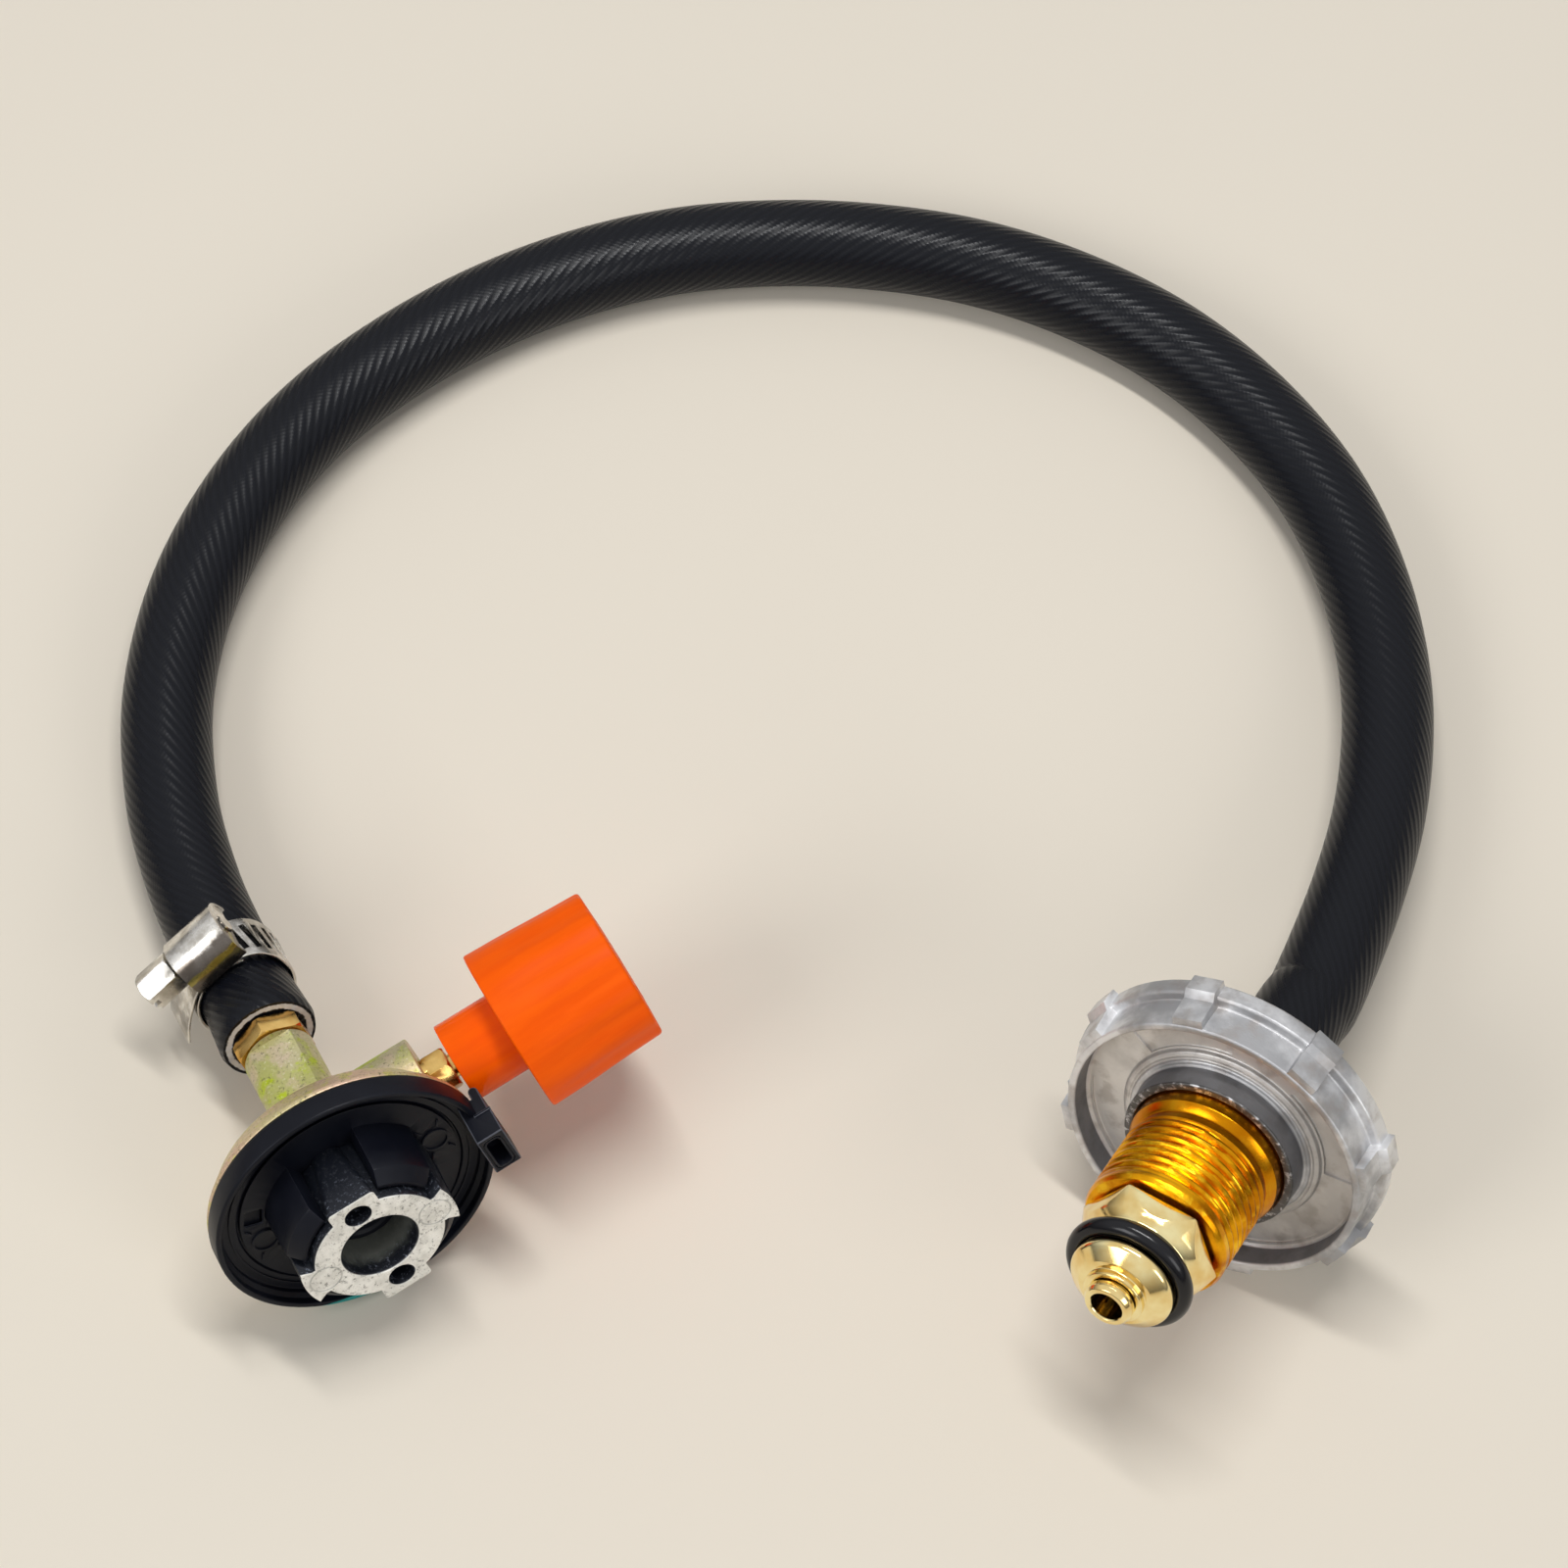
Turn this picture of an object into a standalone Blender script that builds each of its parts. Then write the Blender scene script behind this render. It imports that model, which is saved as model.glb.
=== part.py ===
"""Gas adapter hose, lying on a table in one open loop.

One end is a hand-valve head that takes a gas cartridge, the other a handwheel fitting for a
cylinder valve. Metres, +Z up, the table at z = 0. Each end is modelled in a frame of its own,
whose +Z runs out of its mouth, and is then laid on the table by its empty.
"""

import math

import bmesh
import bpy
from mathutils import Matrix, Vector

# ---------------------------------------------------------------- clearance and fineness
fit_gap = 0.0003
merge_distance = 0.000001
wide_steps = 40
middle_steps = 28
small_steps = 20
fine_steps = 12
sharp_angle = math.radians(32)

# ---------------------------------------------------------------- hose
hose_outer_r = 0.00725
hose_wall = 0.00325
hose_flare = 0.08
hose_flare_length = 0.0085
hose_sides_resolution = 3

# Where the hose's centre line passes on its way from the head to the fitting. Its two ends run
# straight over the barb and into the ferrule.
hose_route = [
    (-0.08671, 0.04668, 0.00775),
    (-0.09131, 0.06218, 0.00735),
    (-0.09311, 0.08108, 0.00735),
    (-0.09021, 0.10058, 0.00735),
    (-0.08281, 0.11868, 0.00735),
    (-0.07211, 0.13418, 0.00735),
    (-0.05871, 0.14648, 0.00735),
    (-0.04411, 0.15618, 0.00735),
    (-0.02871, 0.16318, 0.00735),
    (-0.01271, 0.16748, 0.00735),
    (0.00379, 0.16898, 0.00735),
    (0.02019, 0.16818, 0.00735),
    (0.03679, 0.16498, 0.00735),
    (0.05289, 0.15858, 0.00735),
    (0.06819, 0.14898, 0.00735),
    (0.08149, 0.13578, 0.00735),
    (0.09199, 0.11948, 0.00740),
    (0.09809, 0.10098, 0.00760),
    (0.10009, 0.08118, 0.00840),
    (0.09799, 0.06158, 0.01010),
    (0.09289, 0.04368, 0.01275),
]
hose_straight_at_head = (0.0355, 0.0400, 0.0450, 0.0500, 0.0545)
hose_straight_at_fitting = (0.0340, 0.0280, 0.0220, 0.0150)
hose_points_per_span = 1

# ---------------------------------------------------------------- valve head, laid on the table
head_place = (-0.05765, -0.01309)
head_yaw = math.radians(26.4)
head_pitch = math.radians(14.5)
head_roll = math.radians(12.4)

# dish and lock ring: z = 0 is the front of the rim
ring_overhang = 0.00025
ring_wall = 0.00095
ring_depth = 0.0036
ring_floor = 0.0010
ring_step = 0.0006
ring_bore_r = 0.0140
tab_width = 0.0084
tab_shift = 0.0016
tab_length = 0.0100
tab_reach = 0.0046
tab_inset = 0.0014
tab_skirt = 0.0018
tab_pocket_width = 0.0052
tab_pocket_height = 0.0018
tab_pocket_depth = 0.0030

# body casting
plate_r = 0.0215
plate_thickness = 0.0049
plate_rounding = 0.0012
neck_r = 0.0055
neck_flats = 0.0084
neck_end = 0.0318
hub_r = 0.0085
hub_height = 0.0022
spindle_boss_r = 0.0071
spindle_boss_root = 0.0024
spindle_boss_root_r = 0.0039
spindle_boss_crest = 0.0087
spindle_boss_reach = 0.0179
spindle_offset = 0.0124
gas_way_r = 0.0012
filter_bore_r = 0.0027
filter_bore_depth = 0.0030
barb_socket_r = 0.0035
barb_socket_depth = 0.0078

# centre boss
boss_stand = 0.0091
boss_r = 0.01015
boss_bore_r = 0.0059
boss_bore_depth = 0.0091
boss_bore_chamfer = 0.0004
lug_reach = 0.0124
lug_width = 0.0076
screw_circle_r = 0.0086
screw_head_bore_r = 0.0021
screw_head_seat = 0.0012
screw_shank_r = 0.00105
screw_head_r = 0.0018
screw_head_height = 0.0018
screw_bite = 0.0040

# guide collar
collar_wall = 0.0010
collar_flange_r = 0.0152
collar_flange_thickness = 0.0008
arc_inner_r = 0.0106
arc_outer_r = 0.0130
arc_drop = 0.0014
arc_half_angle = math.radians(21)

# inlet parts
pin_r = 0.0011
pin_flange_r = 0.0026
pin_flange_thickness = 0.0013
pin_stand = 0.0030
seal_outer_r = 0.0056
seal_inner_r = 0.0019
seal_thickness = 0.0020
filter_thickness = 0.0022
gasket_inner_r = 0.0039
gasket_outer_r = 0.0053
gasket_thickness = 0.0010

# spindle, gland and knob: distances are from the head's axis along the spindle
spindle_r = 0.0019
spindle_tip = 0.0016
spindle_needle_length = 0.0030
spindle_end = 0.0377
spindle_bore_depth = 0.0015
gland_bore_r = 0.0035
gland_bore_floor = 0.0106
gland_hex_across = 0.0061
gland_hex_length = 0.0036
spindle_seal_thickness = 0.0014
knob_start = 0.0224
knob_neck_r = 0.00635
knob_neck_length = 0.0091
knob_inner_r = 0.0129
knob_outer_r = 0.0122
knob_length = 0.0194
knob_flutes = 12
knob_flute_depth = 0.0004
knob_edge = 0.0006

# barb
barb_hex_across = 0.0097
barb_hex_length = 0.0031
barb_stem_r = 0.0030
barb_ridge_r = 0.0035
barb_ridge_pitch = 0.0056
barb_ridges = 3
barb_bore_r = 0.0018

# ---------------------------------------------------------------- hose clamp
clamp_place = 0.0490
clamp_turn = math.radians(7)
saddle_tilt = math.radians(9)
band_width = 0.0080
band_thickness = 0.0005
band_layer_gap = 0.0003
band_tail_rise = 0.0029
band_inner_end = math.radians(62)
band_tail_end = math.radians(545)
housing_length = 0.0096
housing_wall = 0.0006
housing_r = 0.0051
worm_r = 0.0019
worm_ridges = 4
journal_r = 0.0013
clamp_head_across = 0.0056
clamp_head_length = 0.0046
clamp_head_slot = 0.0009
clamp_head_slot_depth = 0.0012
clamp_collar_r = 0.0028
clamp_collar_thickness = 0.0009
clamp_collar_stand = 0.0011

# ---------------------------------------------------------------- cylinder fitting
fitting_place = (0.06876, -0.00316)
fitting_yaw = math.radians(-30.5)
fitting_pitch = math.radians(16.0)

# handwheel: z = 0 is the front of the web
wheel_flange_r = 0.0250
wheel_rim_step = 0.00155
wheel_rim_wall = 0.0012
wheel_lip = 0.0039
wheel_back = 0.0047
wheel_flange_width = 0.0031
wheel_web = 0.0022
hub_sleeve_r = 0.0135
hub_sleeve_reach = 0.0052
hub_back = 0.0052
hub_bead_r = 0.0152
hub_bead_height = 0.0013
grip_count = 8
grip_stand = 0.0010
grip_width = 0.0048

# nut
nut_collar_r = 0.0119
nut_thread_r = 0.01124
nut_thread_depth = 0.00098
nut_thread_pitch = 0.001814
nut_thread_turns = 7
nut_thread_start = 0.0092
nut_front = 0.0235
nut_lead_r = 0.0105
nut_lead_length = 0.0010

# nipple
nipple_shank_r = 0.0069
nipple_hex_across = 0.0186
nipple_hex_back = 0.0243
nipple_hex_length = 0.0046
nipple_land_r = 0.0088
nipple_groove_r = 0.0067
nipple_groove_back = 0.0293
nipple_groove_width = 0.0034
nipple_nose_r = 0.0080
nipple_nose_end = 0.0366
nipple_step_r = 0.0046
nipple_step_length = 0.0011
nipple_crown_r = 0.0058
nipple_crown_length = 0.0016
nipple_waist_r = 0.0043
chamber_r = 0.0034
chamber_floor = 0.0235
ring_tube_r = 0.00145
ball_r = 0.0030
bush_tip_r = 0.0037
bush_tip_length = 0.0017
bush_hole_r = 0.00245
bush_plug_length = 0.0060

# ferrule
ferrule_wall = 0.0015
ferrule_mouth = 0.0165
ferrule_front = 0.0064
ferrule_front_wall = 0.0015
ferrule_crimps = 2
ferrule_crimp_depth = 0.0005
ferrule_crimp_pitch = 0.0034


# ================================================================ tools
def clear_scene():
    for thing in list(bpy.data.objects):
        bpy.data.objects.remove(thing, do_unlink=True)


def finish(name, colour, metallic, roughness):
    """A plain finish: its colour, how metallic and how rough it is."""
    material = bpy.data.materials.new(name)
    material.use_nodes = True
    shader = material.node_tree.nodes["Principled BSDF"]
    shader.inputs["Base Color"].default_value = (*colour, 1.0)
    shader.inputs["Metallic"].default_value = metallic
    shader.inputs["Roughness"].default_value = roughness
    return material


def empty(name, matrix, parent=None):
    holder = bpy.data.objects.new(name, None)
    bpy.context.scene.collection.objects.link(holder)
    holder.parent = parent
    holder.matrix_local = matrix
    return holder


def place(name, shape, material, parent):
    """Turns a bmesh into a named object on its parent empty."""
    mesh = bpy.data.meshes.new(name)
    shape.to_mesh(mesh)
    shape.free()
    mesh.shade_smooth()
    mesh.set_sharp_from_angle(angle=sharp_angle)
    mesh.materials.append(material)
    thing = bpy.data.objects.new(name, mesh)
    bpy.context.scene.collection.objects.link(thing)
    thing.parent = parent
    return thing


def tool(name, shape, parent):
    """A cutter or an added shape that only a Boolean uses."""
    mesh = bpy.data.meshes.new(name)
    shape.to_mesh(mesh)
    shape.free()
    thing = bpy.data.objects.new(name, mesh)
    bpy.context.scene.collection.objects.link(thing)
    thing.parent = parent
    thing.hide_render = True
    thing.display_type = "WIRE"
    return thing


def combine(thing, operation, name, shape, parent=None):
    """Adds a Boolean step to an object: DIFFERENCE, UNION or INTERSECT.

    The tool comes back, so that it can be given steps of its own."""
    step = thing.modifiers.new(name, "BOOLEAN")
    step.operation = operation
    step.solver = "EXACT"
    step.object = tool(thing.name + "_" + name, shape, parent or thing.parent)
    return step.object


def turned(profile, steps=wide_steps, angle=2 * math.pi, start=0.0):
    """Spins an outline of (radius, height) points about Z.

    An outline that starts and ends on the axis gives a solid; any other is a closed ring."""
    shape = bmesh.new()
    points = [shape.verts.new((radius, 0.0, height)) for radius, height in profile]
    edges = [shape.edges.new(pair) for pair in zip(points, points[1:])]
    on_axis = profile[0][0] < merge_distance and profile[-1][0] < merge_distance
    if not on_axis:
        edges.append(shape.edges.new((points[-1], points[0])))
    bmesh.ops.rotate(shape, verts=points, cent=(0, 0, 0), matrix=Matrix.Rotation(start, 3, "Z"))
    whole = math.isclose(angle, 2 * math.pi)
    bmesh.ops.spin(
        shape,
        geom=points + edges,
        cent=(0, 0, 0),
        axis=(0, 0, 1),
        dvec=(0, 0, 0),
        angle=angle,
        steps=steps,
        use_merge=whole,
        use_duplicate=False,
    )
    if whole:
        bmesh.ops.remove_doubles(shape, verts=shape.verts, dist=merge_distance)
        on_the_axis = [edge for edge in shape.edges if not edge.link_faces]
        bmesh.ops.delete(shape, geom=on_the_axis, context="EDGES")
    else:
        rims = [edge for edge in shape.edges if edge.is_boundary]
        bmesh.ops.holes_fill(shape, edges=rims, sides=0)
    bmesh.ops.recalc_face_normals(shape, faces=shape.faces)
    return shape


def rod(radius, low, high, steps=small_steps, at=(0.0, 0.0)):
    """A round bar along Z, centred on a point of the XY plane."""
    shape = bmesh.new()
    bmesh.ops.create_cone(
        shape,
        cap_ends=True,
        segments=steps,
        radius1=radius,
        radius2=radius,
        depth=high - low,
        matrix=Matrix.Translation((at[0], at[1], (low + high) / 2)),
    )
    return shape


def hexagon(across, low, high):
    """A hexagonal bar along Z, with flats facing +Y and -Y."""
    return rod(across / 2 / math.cos(math.pi / 6), low, high, steps=6)


def block(size, centre):
    shape = bmesh.new()
    bmesh.ops.create_cube(shape, size=1.0)
    bmesh.ops.scale(shape, vec=size, verts=shape.verts)
    bmesh.ops.translate(shape, vec=centre, verts=shape.verts)
    return shape


def plate(outline, low, high):
    """Extrudes a closed outline in XY from one height to another."""
    shape = bmesh.new()
    face = shape.faces.new([shape.verts.new((x, y, low)) for x, y in outline])
    grown = bmesh.ops.extrude_face_region(shape, geom=[face])
    lifted = [part for part in grown["geom"] if isinstance(part, bmesh.types.BMVert)]
    bmesh.ops.translate(shape, vec=(0, 0, high - low), verts=lifted)
    bmesh.ops.recalc_face_normals(shape, faces=shape.faces)
    return shape


def gather(shapes):
    """Several separate bodies in one bmesh."""
    whole = bmesh.new()
    for shape in shapes:
        mesh = bpy.data.meshes.new("part")
        shape.to_mesh(mesh)
        shape.free()
        whole.from_mesh(mesh)
        bpy.data.meshes.remove(mesh)
    return whole


def moved(shape, matrix):
    bmesh.ops.transform(shape, matrix=matrix, verts=shape.verts)
    return shape


def ridged(start, pitch, count, valley, crest):
    """Outline points of saw-toothed ridges whose steep side faces the higher z."""
    points = []
    for index in range(count):
        height = start + index * pitch
        points.append((valley, height))
        points.append((crest, height + pitch * 0.82))
        points.append((crest, height + pitch * 0.92))
    points.append((valley, start + count * pitch))
    return points


def lying(place_xy, height, yaw, pitch, roll):
    """The frame of an end: its +Z is its mouth's direction, tipped up by the pitch."""
    turn = Matrix.Rotation(yaw, 4, "Z") @ Matrix.Rotation(math.pi / 2 - pitch, 4, "X")
    turn = turn @ Matrix.Rotation(roll, 4, "Z")
    return Matrix.Translation((place_xy[0], place_xy[1], height)) @ turn


# ================================================================ sizes worked out
ring_r = plate_r + ring_overhang
ring_inner_r = ring_r - ring_wall
tab_inner_r = ring_inner_r - tab_inset
tab_outer_r = plate_r + fit_gap + tab_skirt
ring_back = -ring_depth
body_front = ring_back - fit_gap
plate_back = body_front - plate_thickness
boss_base = ring_back
bore_floor = boss_stand - boss_bore_depth
knob_shoulder = knob_start + knob_neck_length
barb_start = hose_straight_at_head[0]
hose_end_depth = ferrule_front + ferrule_front_wall + fit_gap
band_inner_r = hose_outer_r + fit_gap
band_outer_r = band_inner_r + 2 * band_thickness + band_layer_gap
screw_height = band_outer_r + fit_gap + worm_r
wheel_rim_r = wheel_flange_r - wheel_rim_step
grip_reach = wheel_flange_r + grip_stand
grip_turn = math.pi / grip_count
grip_drop = grip_reach * math.cos(grip_turn) + grip_width / 2 * math.sin(grip_turn)
wheel_stand_r = max(wheel_flange_r, grip_drop)

# The head leans on the back edge of its plate, the fitting on two of the wheel's grips.
head_height = (
    -(plate_back + plate_rounding) * math.sin(head_pitch) + plate_r * math.cos(head_pitch)
)
fitting_height = wheel_back * math.sin(fitting_pitch) + wheel_stand_r * math.cos(fitting_pitch)


# ================================================================ valve head
def make_valve_body(head, spindle_axis, zinc_yellow):
    """The plate, hub and neck are one turned ring, with the gas way and its seats inside."""
    rounding = plate_rounding
    socket_floor = -neck_end + barb_socket_depth
    filter_floor = body_front - filter_bore_depth
    groove_floor = body_front - gasket_thickness - fit_gap
    profile = [
        (gas_way_r, filter_floor),
        (filter_bore_r, filter_floor),
        (filter_bore_r, body_front),
        (gasket_inner_r - fit_gap, body_front),
        (gasket_inner_r - fit_gap, groove_floor),
        (gasket_outer_r + fit_gap, groove_floor),
        (gasket_outer_r + fit_gap, body_front),
        (plate_r - rounding / 2, body_front),
        (plate_r, body_front - rounding / 2),
        (plate_r, plate_back + rounding),
        (plate_r - rounding / 3, plate_back + rounding / 3),
        (plate_r - rounding, plate_back),
        (hub_r, plate_back),
        (neck_r, plate_back - hub_height),
        (neck_r, -neck_end),
        (barb_socket_r, -neck_end),
        (barb_socket_r, socket_floor),
        (gas_way_r, socket_floor),
    ]
    body = place("valve_body", turned(profile), zinc_yellow, head)
    half_step = math.pi / middle_steps
    for side in (-1, 1):
        hole = rod(
            screw_shank_r + fit_gap,
            body_front - screw_bite - fit_gap,
            body_front + fit_gap,
            steps=fine_steps,
        )
        shift = Matrix.Translation((0, side * screw_circle_r, 0))
        moved(hole, shift @ Matrix.Rotation(half_step, 4, "Z"))
        combine(body, "DIFFERENCE", "screw_hole_%d" % (side + 1), hole)
    neck_length = neck_end + plate_back - hub_height
    for side in (-1, 1):
        depth = neck_r - neck_flats / 2
        flat = block(
            (4 * neck_r, 2 * depth, neck_length),
            (0, side * (neck_flats / 2 + depth), -neck_end + neck_length / 2 - fit_gap),
        )
        combine(body, "DIFFERENCE", "flat_%d" % (side + 1), flat)
    boss = [
        (0.0, spindle_boss_root),
        (spindle_boss_root_r, spindle_boss_root),
        (spindle_boss_r, spindle_boss_crest),
        (spindle_boss_r, spindle_boss_reach),
        (0.0, spindle_boss_reach),
    ]
    boss_shape = turned(boss, middle_steps, start=half_step)
    combine(body, "UNION", "spindle_boss", boss_shape, spindle_axis)
    spindle_way = [
        (0.0, -spindle_bore_depth),
        (spindle_r + fit_gap, -spindle_bore_depth),
        (spindle_r + fit_gap, gland_bore_floor),
        (gland_bore_r, gland_bore_floor),
        (gland_bore_r, spindle_boss_reach + fit_gap),
        (0.0, spindle_boss_reach + fit_gap),
    ]
    way_shape = turned(spindle_way, small_steps, start=half_step)
    combine(body, "DIFFERENCE", "spindle_way", way_shape, spindle_axis)


def make_centre_boss(head, zinc):
    ring = [
        (0.0, boss_base),
        (boss_r, boss_base),
        (boss_r, boss_stand),
        (0.0, boss_stand),
    ]
    boss = place("centre_boss", turned(ring), zinc, head)
    arm = block(
        (2 * lug_reach, lug_width, boss_stand - boss_base),
        (0, 0, (boss_stand + boss_base) / 2),
    )
    cross = block(
        (lug_width, 2 * lug_reach, boss_stand - boss_base),
        (0, 0, (boss_stand + boss_base) / 2),
    )
    combine(boss, "UNION", "side_lugs", arm)
    combine(boss, "UNION", "screw_lugs", cross)
    bore = [
        (0.0, boss_stand + fit_gap),
        (boss_bore_r + boss_bore_chamfer, boss_stand + fit_gap),
        (boss_bore_r + boss_bore_chamfer, boss_stand),
        (boss_bore_r, boss_stand - boss_bore_chamfer),
        (boss_bore_r, bore_floor),
        (0.0, bore_floor),
    ]
    combine(boss, "DIFFERENCE", "bore", turned(bore, middle_steps))
    pin_way = [
        (0.0, bore_floor + fit_gap),
        (pin_r + fit_gap, bore_floor + fit_gap),
        (pin_r + fit_gap, boss_base + pin_flange_thickness + 2 * fit_gap),
        (pin_flange_r + fit_gap, boss_base + pin_flange_thickness + 2 * fit_gap),
        (pin_flange_r + fit_gap, boss_base - fit_gap),
        (0.0, boss_base - fit_gap),
    ]
    combine(boss, "DIFFERENCE", "pin_way", turned(pin_way, small_steps))
    for index, side in enumerate((-1, 1)):
        screw_way = [
            (0.0, boss_stand + fit_gap),
            (screw_head_bore_r, boss_stand + fit_gap),
            (screw_head_bore_r, boss_base + screw_head_seat + fit_gap),
            (screw_shank_r + fit_gap, boss_base + screw_head_seat + fit_gap),
            (screw_shank_r + fit_gap, boss_base - fit_gap),
            (0.0, boss_base - fit_gap),
        ]
        shift = Matrix.Translation((0, side * screw_circle_r, 0))
        way = moved(turned(screw_way, fine_steps), shift)
        combine(boss, "DIFFERENCE", "screw_way_%d" % index, way)


def make_boss_screws(head, steel):
    seat = boss_base + screw_head_seat + 2 * fit_gap
    profile = [
        (0.0, body_front - screw_bite),
        (screw_shank_r, body_front - screw_bite),
        (screw_shank_r, seat),
        (screw_head_r, seat),
        (screw_head_r, seat + screw_head_height),
        (0.0, seat + screw_head_height),
    ]
    for side, name in ((-1, "boss_screw_lower"), (1, "boss_screw_upper")):
        shift = Matrix.Translation((0, side * screw_circle_r, 0))
        place(name, moved(turned(profile, fine_steps), shift), steel, head)


def make_guide_collar(head, black):
    inner = lug_reach * math.hypot(1, lug_width / 2 / lug_reach) + fit_gap
    outer = ring_bore_r - fit_gap
    flange_low = ring_back + ring_floor + fit_gap
    profile = [
        (inner, ring_back),
        (outer, ring_back),
        (outer, flange_low),
        (collar_flange_r, flange_low),
        (collar_flange_r, flange_low + collar_flange_thickness),
        (inner, flange_low + collar_flange_thickness),
    ]
    collar = place("guide_collar", turned(profile), black, head)
    section = [
        (arc_inner_r, ring_back),
        (inner + collar_wall / 4, ring_back),
        (inner + collar_wall / 4, flange_low),
        (arc_outer_r + fit_gap, flange_low + collar_flange_thickness * 2),
        (arc_outer_r, boss_stand - arc_drop),
        (arc_inner_r, boss_stand - arc_drop),
    ]
    arcs = [
        turned(section, 6, 2 * arc_half_angle, math.radians(45 + 90 * index) - arc_half_angle)
        for index in range(4)
    ]
    combine(collar, "UNION", "arcs", gather(arcs))


def make_lock_ring(head, black):
    inner = ring_inner_r
    floor = ring_back + ring_floor
    profile = [
        (ring_bore_r, ring_back),
        (ring_r, ring_back),
        (ring_r, 0.0),
        (inner, 0.0),
        (inner, -ring_depth / 3),
        (inner - ring_step, -ring_depth / 3 - ring_step),
        (inner - ring_step, floor),
        (ring_bore_r, floor),
    ]
    ring = place("lock_ring", turned(profile, wide_steps), black, head)
    behind = plate_r + fit_gap
    outline = [
        (tab_inner_r, tab_reach),
        (tab_inner_r, ring_back + ring_floor / 2),
        (behind, ring_back + ring_floor / 2),
        (behind, tab_reach - tab_length),
        (tab_outer_r - ring_floor, tab_reach - tab_length),
        (tab_outer_r, tab_reach - tab_length + ring_floor),
        (tab_outer_r, tab_reach),
    ]
    tab = plate(outline, tab_shift - tab_width / 2, tab_shift + tab_width / 2)
    combine(ring, "UNION", "tab", moved(tab, Matrix.Rotation(math.pi / 2, 4, "X")))
    middle = (tab_outer_r + tab_inner_r) / 2
    pocket = block(
        (tab_pocket_height, tab_pocket_width, 2 * tab_pocket_depth),
        (middle, -tab_shift, tab_reach),
    )
    combine(ring, "DIFFERENCE", "pocket", pocket)


def make_inlet_parts(head, brass, rubber, bronze):
    flange_low = boss_base + fit_gap / 3
    pin = [
        (0.0, flange_low),
        (pin_flange_r, flange_low),
        (pin_flange_r, flange_low + pin_flange_thickness),
        (pin_r, flange_low + pin_flange_thickness),
        (pin_r, bore_floor + pin_stand - pin_r / 2),
        (pin_r / 2, bore_floor + pin_stand),
        (0.0, bore_floor + pin_stand),
    ]
    place("inlet_pin", turned(pin, small_steps), brass, head)
    seal_low = bore_floor + fit_gap
    seal = [
        (seal_inner_r, seal_low),
        (seal_outer_r, seal_low),
        (seal_outer_r, seal_low + seal_thickness),
        (seal_inner_r + fit_gap, seal_low + seal_thickness),
    ]
    place("inlet_seal", turned(seal, small_steps), rubber, head)
    filter_low = body_front - filter_bore_depth + fit_gap
    disc = rod(filter_bore_r - fit_gap, filter_low, filter_low + filter_thickness)
    place("inlet_filter", disc, bronze, head)
    gasket = [
        (gasket_inner_r, body_front - gasket_thickness),
        (gasket_outer_r, body_front - gasket_thickness),
        (gasket_outer_r, body_front),
        (gasket_inner_r, body_front),
    ]
    place("boss_gasket", turned(gasket, small_steps), rubber, head)


def make_spindle_set(axis, brass, rubber, orange):
    spindle = [
        (0.0, spindle_tip),
        (spindle_r / 4, spindle_tip),
        (spindle_r, spindle_tip + spindle_needle_length),
        (spindle_r, spindle_end - spindle_r / 4),
        (spindle_r * 0.75, spindle_end),
        (0.0, spindle_end),
    ]
    place("spindle", turned(spindle, small_steps), brass, axis)
    bore_r = spindle_r + fit_gap
    seal_low = gland_bore_floor + fit_gap
    seal = [
        (bore_r, seal_low),
        (gland_bore_r - fit_gap, seal_low),
        (gland_bore_r - fit_gap, seal_low + spindle_seal_thickness),
        (bore_r, seal_low + spindle_seal_thickness),
    ]
    place("spindle_seal", turned(seal, small_steps), rubber, axis)
    gland_low = seal_low + spindle_seal_thickness + fit_gap
    head_low = spindle_boss_reach + fit_gap
    gland = [
        (bore_r, gland_low),
        (gland_bore_r - fit_gap, gland_low),
        (gland_bore_r - fit_gap, head_low + fit_gap),
        (bore_r, head_low + fit_gap),
    ]
    nut = place("gland_nut", turned(gland, small_steps), brass, axis)
    flats = hexagon(gland_hex_across, head_low, head_low + gland_hex_length)
    combine(nut, "UNION", "hexagon", moved(flats, Matrix.Rotation(math.pi / 2, 4, "Z")))
    combine(nut, "DIFFERENCE", "bore", rod(bore_r, gland_low - fit_gap, knob_start))
    place("knob", knob_shape(), orange, axis)


def knob_shape():
    """A neck and a tapered, shallowly fluted grip, bored for the spindle."""
    bore_r = spindle_r + fit_gap
    end = knob_shoulder + knob_length
    profile = [
        (bore_r, knob_start),
        (knob_neck_r, knob_start),
        (knob_neck_r, knob_shoulder),
        (knob_inner_r - knob_edge, knob_shoulder),
        (knob_inner_r, knob_shoulder + knob_edge),
        (knob_inner_r - knob_edge / 4, knob_shoulder + knob_length / 4),
        (knob_outer_r, end - knob_edge),
        (knob_outer_r - knob_edge, end),
        (0.0, end + knob_edge / 2),
        (0.0, spindle_end + fit_gap),
        (bore_r, spindle_end + fit_gap),
    ]
    shape = turned(profile, 4 * knob_flutes)
    fluted_from = knob_shoulder + knob_length / 5
    for point in shape.verts:
        radius = math.hypot(point.co.x, point.co.y)
        if point.co.z > fluted_from and radius > knob_neck_r:
            wave = 0.5 - 0.5 * math.cos(knob_flutes * math.atan2(point.co.y, point.co.x))
            shrink = 1 - knob_flute_depth * wave / radius
            point.co.x *= shrink
            point.co.y *= shrink
    return shape


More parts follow.
